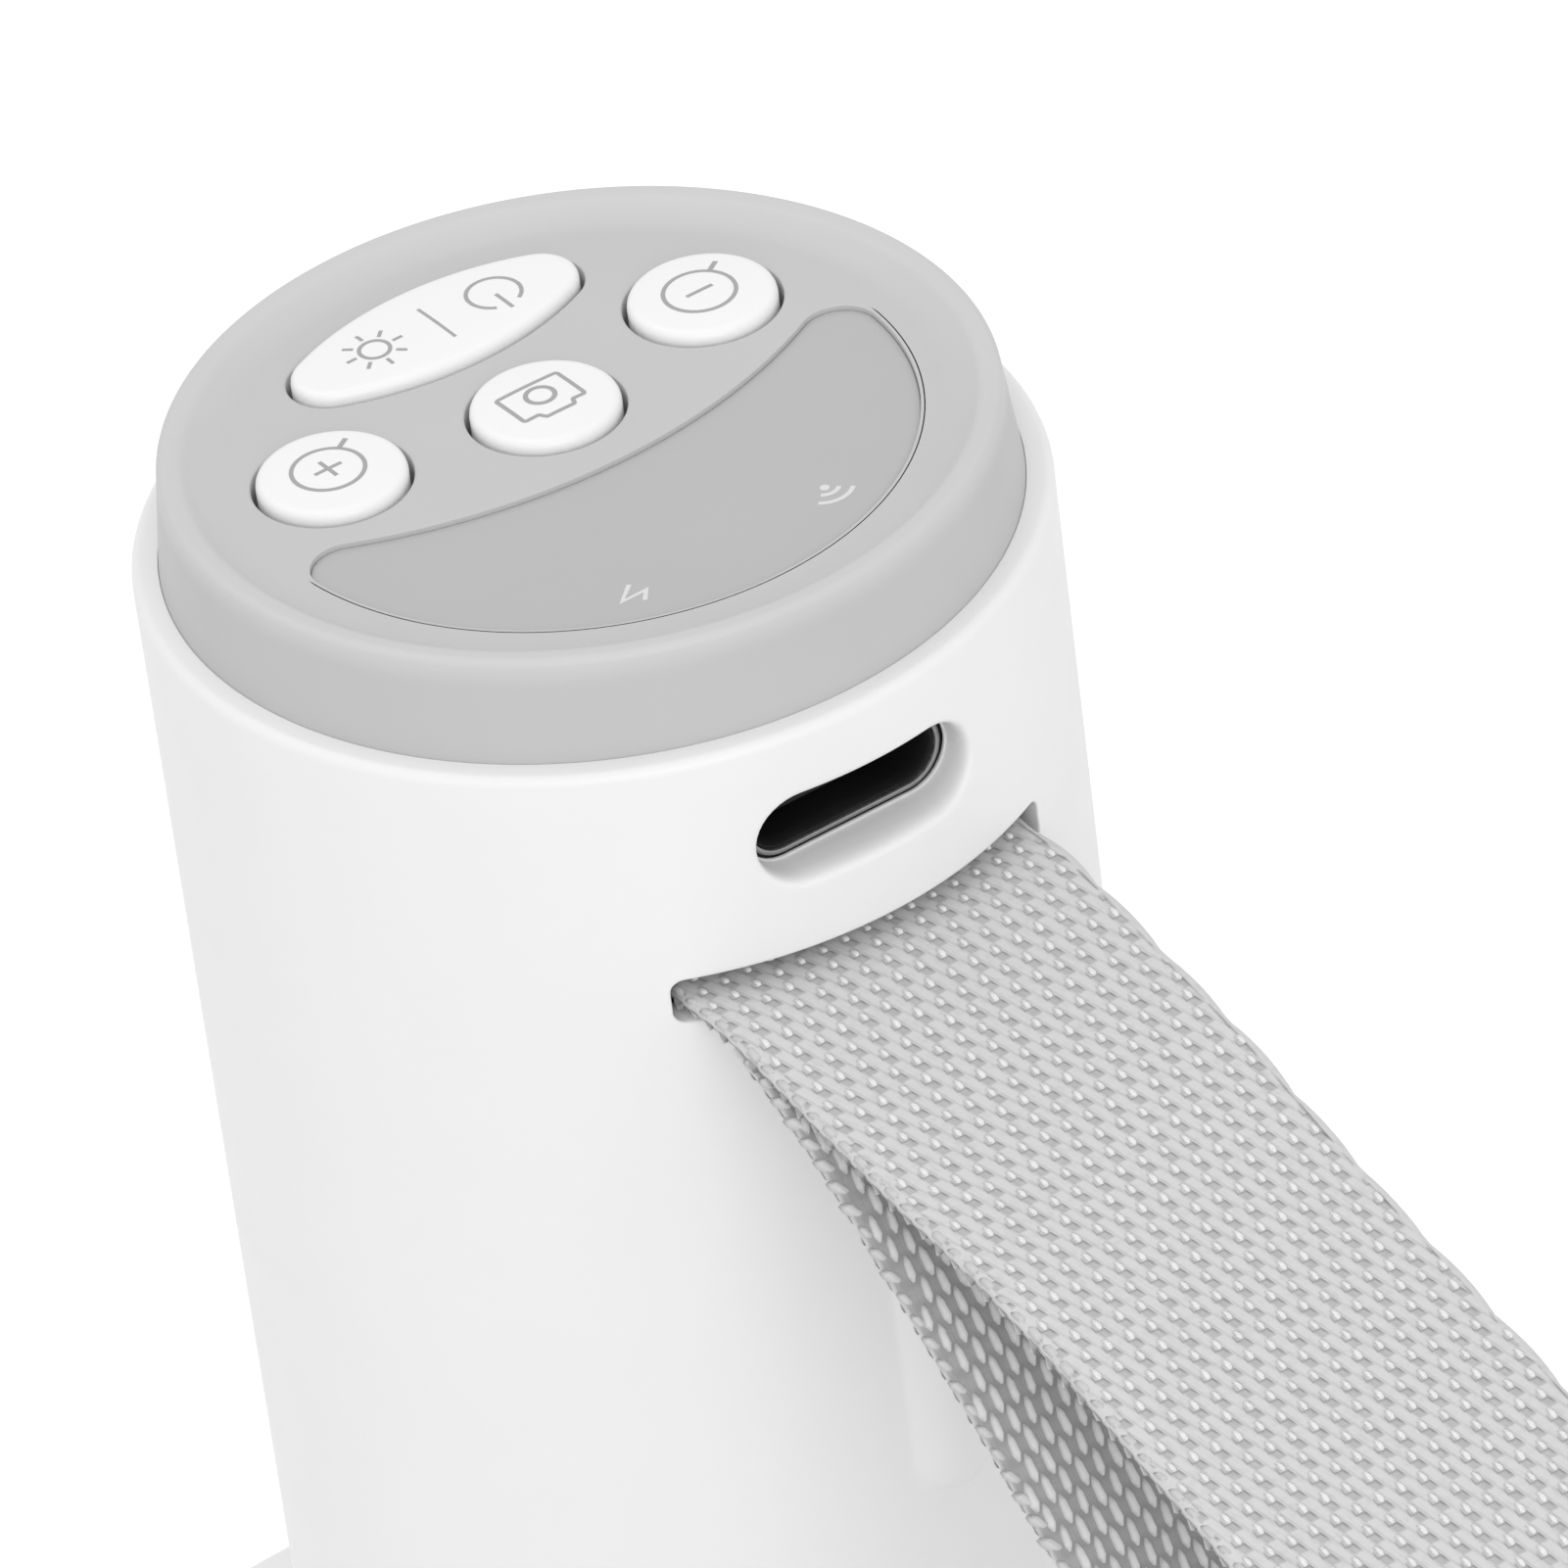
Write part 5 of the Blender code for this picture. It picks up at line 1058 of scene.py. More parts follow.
def make_keys():
    rim = [
        (-0.36, 0.0), (-0.25, -0.01), (-0.15, -0.045), (-0.07, -0.115), (-0.02, -0.22),
        (0.0, -0.34),
    ]
    under = FLANGE_Z - 0.8
    height = round_key_height((0, 0))
    crown = [(radius, 0.0) for radius in (0, 0.3, 0.7, 1.1, 1.5, 1.9, 2.2, 2.45)]
    crown += [(ROUND_KEY_R + grow, lift) for grow, lift in rim]
    crown = [(radius, height(radius, 0) + lift) for radius, lift in crown]
    for name, centre in ROUND_KEYS.items():
        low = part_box(name)[0][2] / MM
        lower = rounded([
            (ROUND_KEY_R, KEY_Z - 0.47, 0), (ROUND_KEY_R, FLANGE_Z, 0.05), (3.5, FLANGE_Z, 0.1),
            (3.5, under, 0.1), (0.9, under, 0.1), (0.9, low, 0.1), (0, low, 0),
        ], 3)
        key = Shape()
        key.turn(crown + lower, FINE_STEPS, centre)
        make_key(name, key)

    key = Shape()
    crown = key.layers(leaf, [(-1.45, 0), (-1.1, 0), (-0.8, 0), (-0.55, 0), *rim], leaf_height)
    flange = key.layers(leaf, [
        (0.0, 0.03), (0.03, 0.0), (0.52, 0.0), (0.55, -0.05), (0.55, -0.75), (0.5, -0.8),
    ], FLANGE_Z)
    key.bridge(crown[-1], flange[0])
    key.cover(crown[0], height=leaf_height, spacing=0.5)
    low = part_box("light_key")[0][2] / MM
    middle = (0, LEAF_Y)
    plunger = [key.layer(circle(middle, radius, SMALL_STEPS), z) for radius, z in (
        (1.0, under), (0.9, under - 0.1), (0.9, low + 0.1), (0.8, low),
    )]
    key.chain(plunger)
    key.fan(plunger[-1], (*middle, low))
    key.cover(flange[-1], [plunger[0]])
    make_key("light_key", key)


# Marks printed on the keys and the panel

MARK_LIFT = 0.012
MARK_SINK = -0.03
SHARPEST_BEND = 0.52


def stroke(marks, line, width, height, closed=False):
    """A printed line of even width, standing a hair above the surface under it."""
    count = len(line)
    sides = ([], [])
    for i, (x, y) in enumerate(line):
        before = line[i - 1] if i or closed else line[i]
        after = line[(i + 1) % count] if i < count - 1 or closed else line[i]
        arrive = Vector((x - before[0], y - before[1])).normalized()
        leave = Vector((after[0] - x, after[1] - y)).normalized()
        along = (arrive + leave).normalized()
        push = width / 2
        if 0 < i < count - 1 or closed:
            push /= max(SHARPEST_BEND, arrive.dot(along))
        for side, points in zip((1, -1), sides):
            points.append((x - along.y * push * side, y + along.x * push * side))
    loops = [marks.layer(sides[k], height, MARK_LIFT) for k in (0, 1)]
    loops += [marks.layer(sides[k], height, MARK_SINK) for k in (1, 0)]
    for first, second in zip(loops, loops[1:] + loops[:1]):
        marks.bridge(first, second, closed)
    if not closed:
        for end in (0, -1):
            marks.faces.append(tuple(loop[end] for loop in loops))


def dot(marks, centre, radius, height):
    outline = circle(centre, radius, 24)
    rings = [marks.layer(outline, height, lift) for lift in (MARK_SINK, MARK_LIFT)]
    marks.chain(rings)
    for ring in rings:
        marks.fan(ring, (*centre, marks.points[ring[0]][2]))


def magnifier(centre, plus, height):
    x, y = centre
    marks = Shape()
    stroke(marks, circle(centre, 1.4, 48), 0.17, height, closed=True)
    stroke(marks, [(x + 1.1, y + 0.9), (x + 1.38, y + 1.1), (x + 1.67, y + 1.3)], 0.2, height)
    stroke(marks, [(x - 0.6, y), (x, y), (x + 0.6, y)], 0.17, height)
    if plus:
        for near, far in ((-0.6, -0.085), (0.085, 0.6)):
            stroke(marks, [(x, y + near), (x, y + far)], 0.17, height)
    return marks


def make_key_mark(name, shape):
    make_piece(name + "_mark", shape, "mark_ink", button_of(name))


def make_marks():
    for name, centre, plus in (("zoom_in_key", (-8.62, 4.17), True),
                               ("zoom_out_key", (8.47, 4.11), False)):
        make_key_mark(name, magnifier(centre, plus, round_key_height(ROUND_KEYS[name])))

    height = round_key_height(ROUND_KEYS["shutter_key"])
    camera = Shape()
    case = rounded([
        (1.34, 3.45, 0.12), (-1.45, 3.45, 0.12), (-1.45, 1.51, 0.12), (-0.8, 1.51, 0.08),
        (-0.63, 1.2, 0.1), (0.64, 1.2, 0.1), (0.76, 1.51, 0.08), (1.34, 1.51, 0.12),
    ], 4, closed=True)
    stroke(camera, stretched(case, 0.25), 0.175, height, closed=True)
    stroke(camera, circle((-0.01, 2.56), 0.56, 36), 0.195, height, closed=True)
    make_key_mark("shutter_key", camera)

    lamp = Shape()
    sun = (-2.77, 9.67)
    stroke(lamp, circle(sun, 0.6, 36), 0.16, leaf_height, closed=True)
    rings = [circle(sun, radius, 8) for radius in (0.84, 1.05, 1.27)]
    for ray in zip(*rings):
        stroke(lamp, ray, 0.15, leaf_height)
    stroke(lamp, [(-0.02, y) for y in (8.22, 9.5, 10.77)], 0.14, leaf_height)
    x, y = 2.74, 9.66
    stroke(lamp, arc((x, y), 1.07, -60, 242, 48), 0.16, leaf_height)
    stroke(lamp, [(x, y - 0.15), (x, y - 0.75), (x, y - 1.3)], 0.16, leaf_height)
    make_key_mark("light_key", lamp)

    signs = Shape()
    bolt = [(-4.3, -9.27), (-5.12, -9.99), (-4.02, -9.98), (-4.44, -10.5)]
    stroke(signs, bolt, 0.19, PANEL_Z)
    dot(signs, (4.68, -9.22), 0.19, PANEL_Z)
    for radius in (0.6, 1.13):
        stroke(signs, arc((4.7, -9.1), radius, 225, 316, 16), 0.19, PANEL_Z)
    make_piece("panel_marks", signs, "panel_ink", "microscope")


# Socket in the port


def socket_loop(shape, grow, y):
    width, height = SOCKET_SIZE
    outline = pill(width + 2 * grow, height + 2 * grow)
    outline = stretched(outline, 0.5, pill(width, height))
    return shape.loop([(x, y, z + PORT_Z) for x, z in outline])


def make_socket():
    front, back = SOCKET_FRONT_Y, SOCKET_BACK_Y
    shell = Shape()
    loops = [socket_loop(shell, grow, y) for grow, y in [
        (-0.3, back), (-0.3, front + 0.9), (-0.23, front + 0.5), (-0.23, front + 0.07),
        (-0.2, front + 0.02), (-0.13, front), (-0.06, front + 0.01), (-0.01, front + 0.05),
        (0.0, front + 0.12), (0.0, front + 1.5), (0.0, back),
    ]]
    shell.chain(loops + loops[:1])
    make_piece("socket_shield", shell, "tinned_steel", "microscope", "port_shell")

    core = Shape()
    loops = [socket_loop(core, grow, y) for grow, y in [
        (-0.31, back - 0.2), (-0.31, front + 0.9), (-0.24, front + 0.5), (-0.24, front + 0.2),
        (-0.27, front + 0.15), (-0.33, front + 0.16), (-0.41, front + 0.3), (-0.46, front + 0.8),
        (-0.46, back - 1.4),
    ]]
    core.chain(loops)
    gasket = [socket_loop(core, grow, front + depth) for grow, depth in [
        (0.005, 0.12), (0.11, 0.12), (0.11, 0.5), (0.005, 0.5),
    ]]
    core.chain(gasket + gasket[:1])
    tongue = []
    for width, height, y in [
        (6.9, 0.9, back - 1.4), (6.9, 0.9, -13.3), (6.7, 0.7, -13.2), (6.7, 0.7, front + 0.95),
        (6.5, 0.5, front + 0.8),
    ]:
        outline = stretched(pill(width, height, 6), 0.6, pill(6.7, 0.7, 6))
        tongue.append(core.loop([(x, y, z + PORT_Z) for x, z in outline]))
    core.chain(tongue)
    core.cover(loops[0], upright=True)
    core.cover(loops[-1], [tongue[0]], upright=True)
    core.cover(tongue[-1], upright=True)
    make_piece("socket_core", core, "black_plastic", "microscope", "port_core")


# Geometry node trees


def new_tree(name, inputs):
    """A tree with a geometry input and output and the named inputs, and the signals of its
    inputs."""
    tree = bpy.data.node_groups.new(name, "GeometryNodeTree")
    inputs = {"Geometry": "Geometry", **inputs}
    for label, kind in inputs.items():
        tree.interface.new_socket(label, in_out="INPUT", socket_type=f"NodeSocket{kind}")
    tree.interface.new_socket("Geometry", in_out="OUTPUT", socket_type="NodeSocketGeometry")
    given = node(tree, "NodeGroupInput").outputs
    return tree, {label: Signal(tree, given[label]) for label in inputs}


def close_tree(tree, geometry, material):
    """Ends a tree in Realize Instances and Set Material."""
    real = node(tree, "GeometryNodeRealizeInstances", {0: geometry}).outputs[0]
    dressed = node(tree, "GeometryNodeSetMaterial", {0: real, "Material": material}).outputs[0]
    node(tree, "NodeGroupOutput", {0: dressed})


def grow_mesh(name, start_mesh, tree, values):
    """Runs a tree on a start mesh with the given inputs and returns the plain mesh it makes."""
    seed = add_object(name + "_seed", start_mesh)
    modifier = seed.modifiers.new("grow", "NODES")
    modifier.node_group = tree
    for item in tree.interface.items_tree:
        if item.item_type == "SOCKET" and item.in_out == "INPUT" and item.name in values:
            modifier[item.identifier] = values[item.name]
    depsgraph = bpy.context.evaluated_depsgraph_get()
    mesh = bpy.data.meshes.new_from_object(seed.evaluated_get(depsgraph), depsgraph=depsgraph)
    seed.modifiers.clear()
    bpy.data.objects.remove(seed)
    mesh.name = name
    return mesh


def copies(tree, sizes, spots, turn, feeds=()):
    """Copies of the motif on points, each turned about its upright axis."""
    motif = node(tree, "GeometryNodeObjectInfo", {"Object": sizes["Motif"]}).outputs["Geometry"]
    rotation = node(tree, "ShaderNodeCombineXYZ", {"Z": turn}).outputs[0]
    return node(tree, "GeometryNodeInstanceOnPoints", {
        "Points": spots, "Instance": motif, "Rotation": rotation, **dict(feeds),
    }).outputs[0]


def ring_of_copies_tree():
    """Copies of a motif set round the microscope's axis at even angles."""
    tree, sizes = new_tree("ring_of_copies", {
        "Motif": "Object", "Count": "Int", "Finish": "Material",
    })
    index = signal(tree, "GeometryNodeInputIndex", 0)
    spots = node(tree, "GeometryNodePoints", {"Count": sizes["Count"]}).outputs[0]
    ring = copies(tree, sizes, spots, index / sizes["Count"] * math.tau)
    close_tree(tree, ring, sizes["Finish"])
    return tree


def along_route_tree():
    """Copies of a motif in rows and columns on a flat web, laid along the strap's route."""
    tree, sizes = new_tree("weave_along_route", {
        "Motif": "Object", "Columns": "Int", "Rows": "Int", "Column pitch": "Float",
        "Row pitch": "Float", "Row shift": "Float", "First across": "Float", "Reach": "Float",
        "Side": "Float", "Lift": "Float", "Unevenness": "Float", "Finish": "Material",
    })
    index = signal(tree, "GeometryNodeInputIndex", 0)
    column = maths("MODULO", index, sizes["Columns"])
    row = maths("FLOOR", (index + 0.5) / sizes["Columns"])
    shift = maths("FRACT", row * sizes["Row shift"])
    across = sizes["First across"] + (column + shift) * sizes["Column pitch"]
    along = row * sizes["Row pitch"]
    place = node(tree, "ShaderNodeCombineXYZ", {"X": across, "Y": along}).outputs[0]
    count = sizes["Columns"] * sizes["Rows"]
    spots = node(tree, "GeometryNodePoints", {"Count": count, "Position": place}).outputs[0]
    jitter = signal(tree, "FunctionNodeRandomValue", 1, {2: -1.0, 3: 1.0, "Seed": 7},
                    data_type="FLOAT")
    uneven = jitter * sizes["Unevenness"]
    laid_flat = copies(tree, sizes, spots, uneven, {
        "Scale": uneven + 1.0, "Selection": maths("LESS_THAN", abs(across), sizes["Reach"]),
    })
    web = node(tree, "GeometryNodeRealizeInstances", {0: laid_flat}).outputs[0]

    position = {0: node(tree, "GeometryNodeInputPosition").outputs[0]}
    x, y, z = (signal(tree, "ShaderNodeSeparateXYZ", axis, position) for axis in "XYZ")
    route = node(tree, "GeometryNodeMeshToCurve", {0: sizes["Geometry"]}).outputs[0]
    rolls = node(tree, "GeometryNodeInputNamedAttribute", {"Name": "roll"}, data_type="FLOAT")
    sample = node(tree, "GeometryNodeSampleCurve", {
        "Curves": route, "Value": rolls.outputs[0], "Length": y,
    }, mode="LENGTH", data_type="FLOAT").outputs
    side = (1.0, 0.0, 0.0)
    upward = vectors(tree, "CROSS_PRODUCT", sample["Tangent"], side)
    upward = vectors(tree, "NORMALIZE", upward, (0, 0, 0))
    roll = Signal(tree, sample["Value"])
    cosine, sine = maths("COSINE", roll), maths("SINE", roll)
    rolled_side = vectors(tree, "ADD", scaled(tree, side, cosine), scaled(tree, upward, sine))
    rolled_up = vectors(tree, "SUBTRACT", scaled(tree, upward, cosine), scaled(tree, side, sine))
    height = (z + sizes["Lift"]) * sizes["Side"]
    moved = vectors(tree, "ADD", sample["Position"], scaled(tree, rolled_side, x))
    moved = vectors(tree, "ADD", moved, scaled(tree, rolled_up, height))
    laid = node(tree, "GeometryNodeSetPosition", {"Geometry": web, "Position": moved}).outputs[0]
    close_tree(tree, laid, sizes["Finish"])
    return tree


# Focus ring


def make_focus_ring():
    make_tube("focus_grip", [
        (RING_R, 24.9, 0.3), (RING_R, 12.3, 0.3), (16.8, 12.3, 0.05), (16.8, 14.3, 0.05),
        (15.9, 14.3, 0.05), (15.9, 24.9, 0.1),
    ], 6, "ring_plastic", "focus_collar", "focus_ring")
    rib = Shape()
    half, root, base = 0.62, RING_R - 0.15, RING_R + 0.02
    loops = []
    for lift, z in [
        (0.0, 12.7), (0.28, 12.9), (0.38, 13.3), (0.38, 23.9), (0.28, 24.3), (0.0, 24.5),
    ]:
        shoulder, crest = (base + lift * 0.75, half * 0.72), (base + lift, half * 0.3)
        flank = [(root, half), (base, half), shoulder, crest]
        section = [(x, -y) for x, y in flank] + flank[::-1]
        loops.append(rib.layer(section, z))
    rib.chain(loops)
    rib.faces += [tuple(loops[0]), tuple(loops[-1])]
    finish = FINISHES["ring_plastic"]
    motif = make_motif("grip_rib", rib)
    mesh = grow_mesh("focus_grip_ribs", bpy.data.meshes.new("rib_seed"), ring_of_copies_tree(), {
        "Motif": motif, "Count": GRIP_RIBS, "Finish": finish,
    })
    bpy.data.objects.remove(motif)
    place_piece("focus_grip_ribs", mesh, finish, "focus_collar")


def set_point_values(mesh, name, values):
    mesh.attributes.new(name, "FLOAT", "POINT").data.foreach_set("value", values)


def set_uv_map(mesh, places):
    """A UV map in which every corner has its point's place."""
    layer = mesh.uv_layers.new(name="UVMap")
    for corner in mesh.loops:
        layer.data[corner.index].uv = places[corner.vertex_index]


def make_motif(name, shape, painted_light=None, uv=None, mirrored=False):
    """A small object for a tree to copy, in metres, with its crown attribute of painted light and
    its UV map. The faces of a motif that the tree mirrors are turned round."""
    mesh = new_mesh(name, shape)
    face_outwards(mesh, turned=mirrored)
    mesh.shade_smooth()
    if painted_light:
        set_point_values(mesh, "crown", painted_light)
        set_uv_map(mesh, uv)
    return add_object(name, mesh)


# Wrist strap

# The loop's centreline from its edge: distance out from the axis, and height
STRAP_ROUTE = [
    (10.9, 65.52), (14.0, 65.52), (17.0, 65.48), (18.7, 65.3), (20.5, 64.87), (23.0, 64.25),
    (25.0, 63.78), (28.0, 63.08), (30.0, 62.6), (33.0, 61.8), (36.0, 60.9), (40.0, 59.65),
    (44.0, 58.35), (48.0, 57.0), (54.0, 54.6), (60.0, 51.5), (68.0, 46.0), (76.0, 38.5),
    (84.0, 28.8), (91.0, 18.9), (97.0, 11.5), (102.5, 7.0), (107.5, 5.3), (111.5, 4.9),
    (114.3, 4.2), (115.4, 2.8), (114.4, 1.35), (111.5, 0.8), (105.0, 0.8), (98.0, 0.8),
    (91.0, 0.8), (85.0, 0.85), (80.0, 1.7), (75.5, 4.3), (70.5, 9.6), (65.0, 17.3),
    (59.0, 26.3), (52.5, 35.0), (46.0, 42.2), (40.0, 47.8), (35.0, 52.3), (31.0, 55.8),
    (27.5, 58.75), (24.0, 61.8), (22.0, 63.2), (20.0, 64.3), (18.3, 64.95),
]
# Turn of the web about its centreline: distance along it and degrees
STRAP_ROLL = [
    (0, 0), (9, 0), (13, -0.8), (17.5, -1.8), (20, -3.4), (23, -5.2), (27, -6), (34, -5.4),
    (50, -4), (90, -2), (120, 0), (260, 0),
]
ROUTE_STEPS = 24
ROUTE_SMOOTHINGS = 60
STRAP_STATIONS = 520


def strap_stations():
    """The route as evenly spaced points, with the direction, the roll and the distance along it
    at each. It is drawn as a curve through its corners and then smoothed."""
    corners = np.array([(0.0, -s, z) for s, z in STRAP_ROUTE])
    padded = np.vstack([2 * corners[0] - corners[1], corners, 2 * corners[-1] - corners[-2]])
    fine = []
    for p0, p1, p2, p3 in zip(padded, padded[1:], padded[2:], padded[3:]):
        for t in np.linspace(0, 1, ROUTE_STEPS, endpoint=False):
            fine.append(0.5 * (2 * p1 + (p2 - p0) * t + (2 * p0 - 5 * p1 + 4 * p2 - p3) * t**2
                               + (3 * p1 - p0 - 3 * p2 + p3) * t**3))
    fine.append(corners[-1])
    fine = np.array(fine)
    for _ in range(ROUTE_SMOOTHINGS):
        fine[1:-1] = (fine[:-2] + 2 * fine[1:-1] + fine[2:]) / 4
    lengths = np.concatenate([[0], np.cumsum(np.linalg.norm(np.diff(fine, axis=0), axis=1))])
    even = np.linspace(0, lengths[-1], STRAP_STATIONS)
    points = np.stack([np.interp(even, lengths, fine[:, k]) for k in range(3)], axis=1)
    tangents = np.gradient(points, axis=0)
    tangents /= np.linalg.norm(tangents, axis=1)[:, None]
    stops, turns = np.array(STRAP_ROLL, dtype=float).T
    rolls = np.radians(np.interp(even, stops, turns))
    return points, tangents, rolls, even


def strap_point(stations, i, across, height):
    """A point of the web at station i, beside its centreline and above its middle."""
    points, tangents, rolls, _ = stations
    side = np.array((1.0, 0.0, 0.0))
    up = np.cross(tangents[i], side)
    up /= np.linalg.norm(up)
    cosine, sine = math.cos(rolls[i]), math.sin(rolls[i])
    rolled_side, rolled_up = side * cosine + up * sine, up * cosine - side * sine
    return tuple(points[i] + rolled_side * across + rolled_up * height)


def edge_bulge(along):
    """How far the right edge stands out: each slanting row of the weave ends in one scallop."""
    slant = -ROW_SHIFT * along / PICK_PITCH
    turns = (STRAP_WIDTH / 2 + WEAVE_EDGE) / COLUMN_PITCH + slant + 0.3
    return 0.2 * math.sin(math.pi * (turns % 1.0)) ** 0.8


def make_web(stations, finish):
    """The flat woven web with its scalloped right edge."""
    web = Shape()
    loops, places, sides = [], [], []
    flats = np.linspace(*WEB_FLAT, 12)
    right = [(-0.2, 0.31), (-0.05, 0.18), (0.0, 0.0), (-0.05, -0.18), (-0.2, -0.31)]
    left = [(-7.88, -0.24), (-7.94, 0.0), (-7.88, 0.24)]
    for i, along in enumerate(stations[3]):
        edge = WEB_RIGHT_EDGE + edge_bulge(along)
        section = [(a, WEB_HALF) for a in flats]
        section += [(edge + a, h) for a, h in right]
        section += [(a, -WEB_HALF) for a in flats[::-1]]
        section += left
        loops.append(web.loop([strap_point(stations, i, a, h) for a, h in section]))
        places += [(a, along) for a, _ in section]
        sides += [0.0 if h < 0 else 1.0 for _, h in section]
    web.chain(loops)
    web.faces += [tuple(loops[0]), tuple(loops[-1])]
    mesh = new_mesh("strap_web", web)
    face_outwards(mesh)
    set_point_values(mesh, "face", sides)
    set_uv_map(mesh, places)
    return place_piece("strap_web", mesh, finish, "microscope", "wrist_strap", 70)


def yarn_motif(name, stations, width, rise_up, sink, lean=0.0, crest=0.5, mirrored=False):
    """A crest of yarn whose ends dive into the web. Each station has its place along, its share of
    the width, its share of the rise and its painted light, a painted highlight where high and
    painted shade where low; the crest is the share of the width on top."""
    shape, painted_light, uv = Shape(), [], []
    loops = []
    for along, wide, high, shade in stations:
        half, top = wide * width / 2, rise_up * high
        row = [(-half, -sink), (-half * crest, top), (half * crest, top), (half, -sink)]
        loops.append(shape.loop([(a + lean * along, along, h) for a, h in row]))
        # Painted shade on the sides: they get 0.4 of the station's painted light.
        painted_light += [shade * 0.4, shade, shade, shade * 0.4]
        uv += [(k / 3, along) for k in range(4)]
    shape.chain(loops)
    shape.faces += [tuple(loops[0]), tuple(loops[-1])]
    return make_motif(name, shape, painted_light, uv, mirrored)


def make_strap():
    stations = strap_stations()
    web = make_web(stations, web_finish("strap_web"))
    points = [[c * MM for c in p] for p in stations[0]]
    route = bpy.data.meshes.new("strap_route")
    route.from_pydata(points, [(i, i + 1) for i in range(len(points) - 1)], [])
    set_point_values(route, "roll", [float(roll) for roll in stations[2]])

    tree = along_route_tree()
    length = float(stations[3][-1])
    # Each yarn finish turns the crown attribute into colour, from painted shade at its low tone to
    # a painted highlight at its high tone.
    face_yarn, back_yarn, edge_yarn = (
        yarn_finish(f"strap_{name}_yarn", [(0.0, tone(low)), (1.0, tone(high))], roughness)
        for name, low, high, roughness in (
            ("face", 206, 255, 0.45), ("back", 160, 250, 0.55), ("edge", 150, 232, 0.5),
        )
    )
    # The last number of each station is its painted light: the knuckle's tip is brightest as a
    # painted glint, the ends darker as painted shade.
    knuckle = [(-0.5, 0.6, -0.6, 0.5), (-0.38, 0.8, 0.5, 0.7), (-0.15, 1.0, 1.0, 0.95),
               (0.01, 1.1, 1.1, 1.0), (0.08, 0.7, -0.2, 1.0)]
    lozenge = [(-0.66, 0.3, -0.3, 0.7), (-0.3, 1.0, 1.0, 1.0), (0.24, 0.9, 0.9, 0.9),
               (0.66, 0.25, -0.3, 0.5)]
    loop = [(-0.42, 0.4, -0.4, 0.4), (-0.2, 1.0, 0.9, 0.9), (0.18, 1.0, 1.0, 1.0),
            (0.42, 0.4, -0.4, 0.4)]
    face = {
        "Rows": int(length / PICK_PITCH), "Row pitch": PICK_PITCH * MM, "Row shift": ROW_SHIFT,
        "Columns": FACE_COLUMNS, "Column pitch": COLUMN_PITCH * MM,
        "First across": -STRAP_WIDTH / 2 * MM, "Reach": WEAVE_EDGE * MM,
        "Side": 1.0, "Lift": WEB_HALF * MM, "Unevenness": 0.08,
    }
    back = {**face, "Side": -1.0, "Columns": BACK_COLUMNS, "Column pitch": BACK_COLUMN_PITCH * MM}
    edge = {
        **face, "Columns": 1, "Column pitch": 0.0, "First across": EDGE_LOOPS_X * MM,
        "Reach": 9.0 * MM, "Row shift": 0.0, "Unevenness": 0.2, "Lift": 0.26 * MM,
    }
    back_edge = {**edge, "Side": -1.0}
    for name, motif, finish, values in (
        ("strap_face_floats", yarn_motif("face_float", knuckle, 0.21, 0.09, 0.03, crest=0.85),
         face_yarn, face),
        ("strap_back_floats",
         yarn_motif("back_float", lozenge, 0.43, 0.14, 0.04, lean=0.14, mirrored=True),
         back_yarn, back),
        ("strap_face_edge_loops", yarn_motif("face_edge_loop", loop, 0.26, 0.12, 0.12, lean=0.16),
         edge_yarn, edge),
        ("strap_back_edge_loops",
         yarn_motif("back_edge_loop", loop, 0.38, 0.17, 0.2, lean=-0.42, mirrored=True),
         edge_yarn, back_edge),
    ):
        mesh = grow_mesh(name, route, tree, {**values, "Motif": motif, "Finish": finish})
        bpy.data.objects.remove(motif)
        place_piece(name, mesh, finish, "microscope", sharp=80)


# Studio

SURROUND_LIGHT = 0.76
LAMPS_AIM = Vector((0, 0, 0.05))
FLOOR_REACH = 6.0
FLOOR_Z = -0.0001
FLOOR_GLOW = 0.3


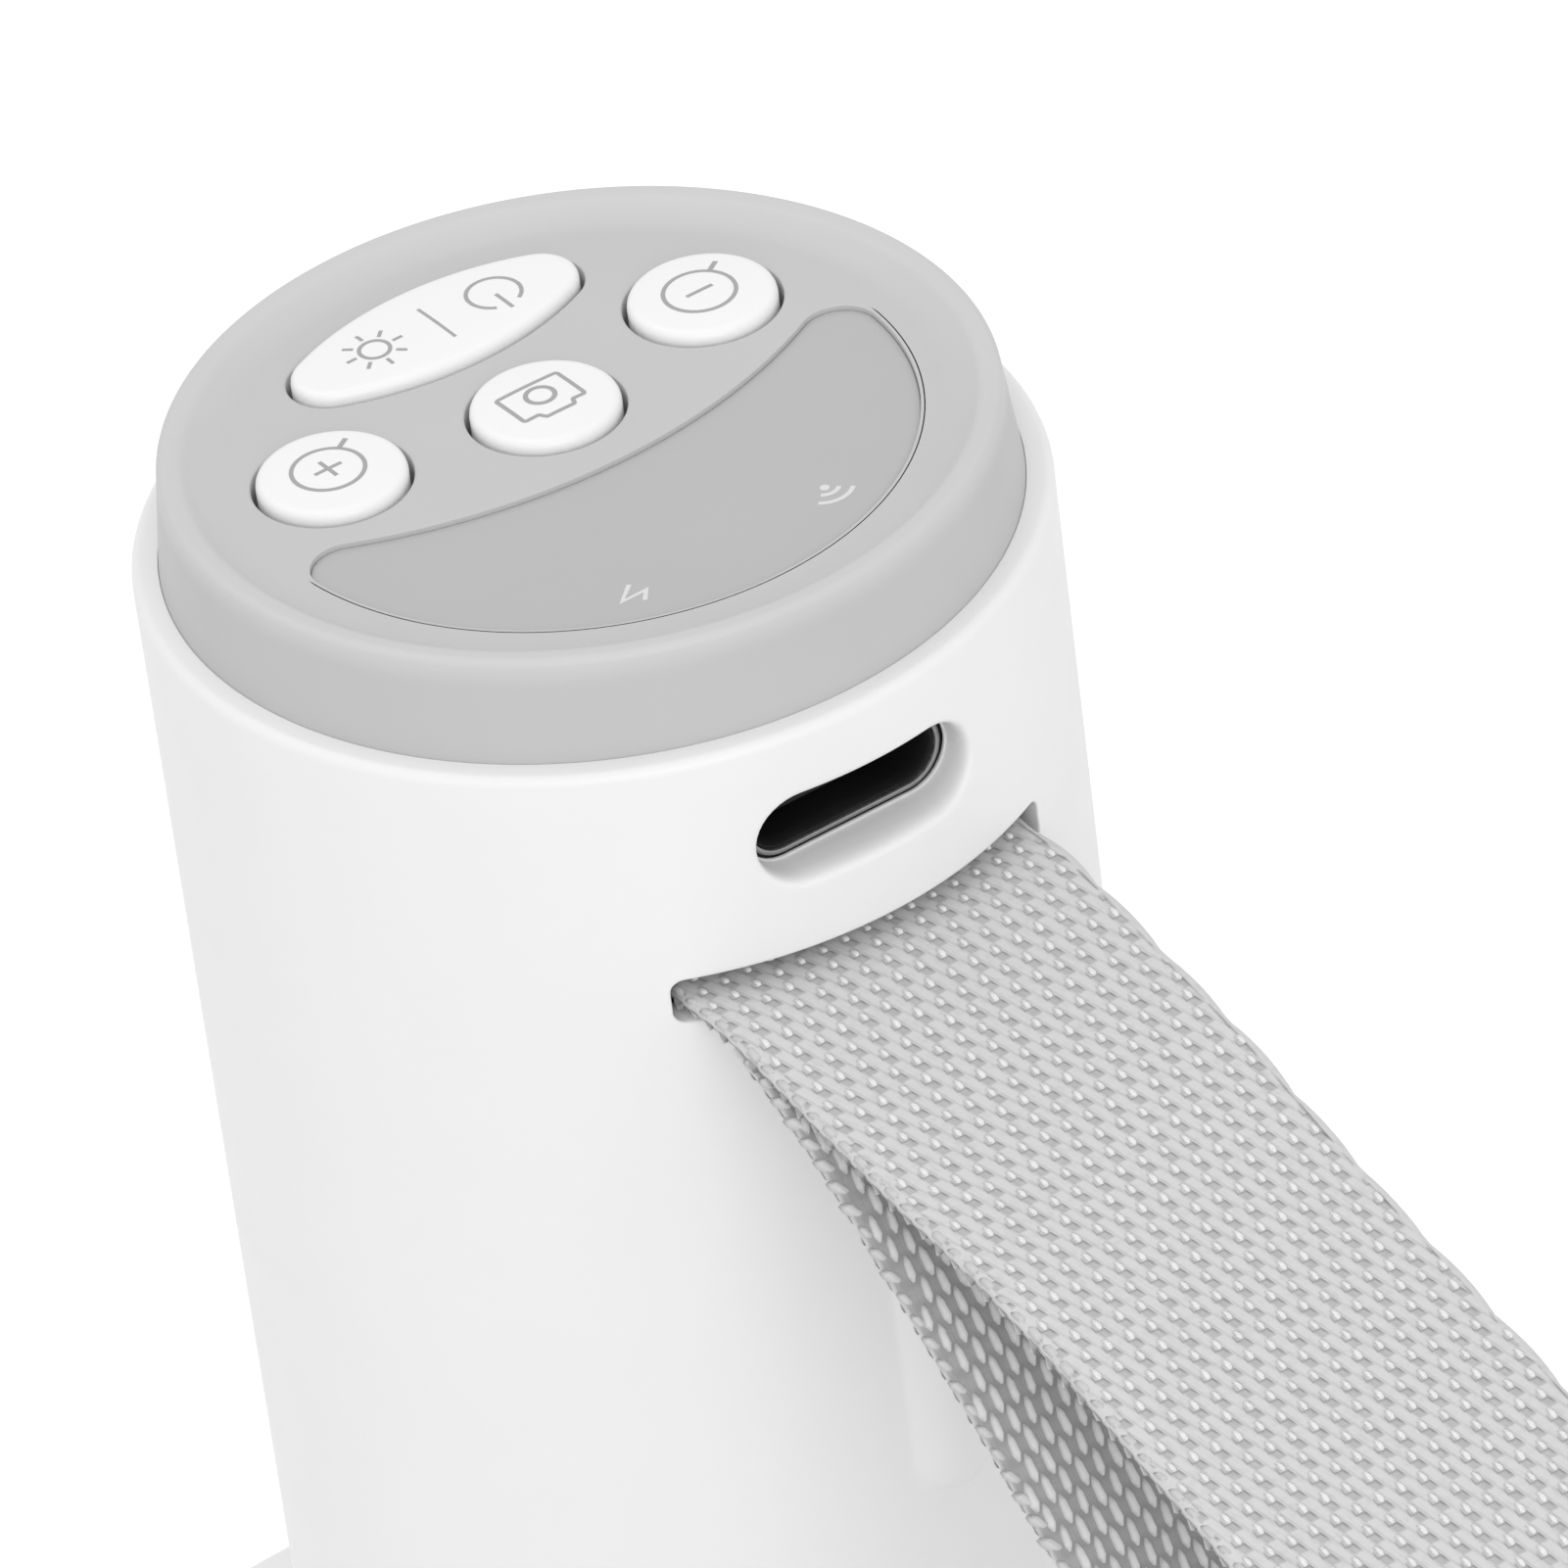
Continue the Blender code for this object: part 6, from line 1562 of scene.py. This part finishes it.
def make_studio():
    """A white surround that looks brighter than it lights the part, and two soft lamps."""
    world = bpy.data.worlds.new("studio")
    bpy.context.scene.world = world
    world.use_nodes = True
    tree = world.node_tree
    soft, bright = (
        node(tree, "ShaderNodeBackground", {"Color": WHITE, "Strength": strength}).outputs[0]
        for strength in (SURROUND_LIGHT, 1.0)
    )
    both = node(tree, "ShaderNodeMixShader", {0: seen_directly(tree), 1: soft, 2: bright})
    tree.links.new(both.outputs[0], tree.nodes["World Output"].inputs["Surface"])

    for name, place, size, watts in [
        ("overhead_softbox", (-0.25, 0.35, 1.1), 1.1, 2.2),
        ("front_softbox", (-0.34, -0.98, 0.6), 0.8, 3.5),
    ]:
        data = bpy.data.lights.new(name, "AREA")
        data.shape = "SQUARE"
        data.size = size
        data.energy = watts
        lamp = add_object(name, data)
        lamp.location = place
        aim = LAMPS_AIM - lamp.location
        lamp.rotation_euler = aim.to_track_quat("-Z", "Y").to_euler()


def make_floor():
    """A white floor with a faint glow that only the camera sees."""
    finish, tree, shader = new_finish(
        "floor_white", Base_Color=(0.85, 0.85, 0.85, 1), Roughness=0.9, Specular_IOR_Level=0.1
    )
    glow = node(tree, "ShaderNodeEmission", {"Strength": seen_directly(tree) * FLOOR_GLOW})
    both = node(tree, "ShaderNodeAddShader", {0: shader.outputs[0], 1: glow.outputs[0]})
    tree.links.new(both.outputs[0], tree.nodes["Material Output"].inputs["Surface"])
    mesh = bpy.data.meshes.new("floor")
    near, far = -FLOOR_REACH, FLOOR_REACH
    corners = [(near, near, 0), (far, near, 0), (far, far, 0), (near, far, 0)]
    mesh.from_pydata(corners, [], [(0, 1, 2, 3)])
    mesh.materials.append(finish)
    floor = add_object("floor", mesh)
    floor.location.z = FLOOR_Z


set_camera()
bpy.context.scene.view_settings.view_transform = "Standard"
make_studio()
make_floor()
make_finishes()
dress_cad_nodes()
make_strap()
make_foot()
make_hood()
make_lens_unit()
make_ring_light()
make_focus_ring()
make_body_shell()
make_cap()
make_keys()
make_marks()
make_socket()
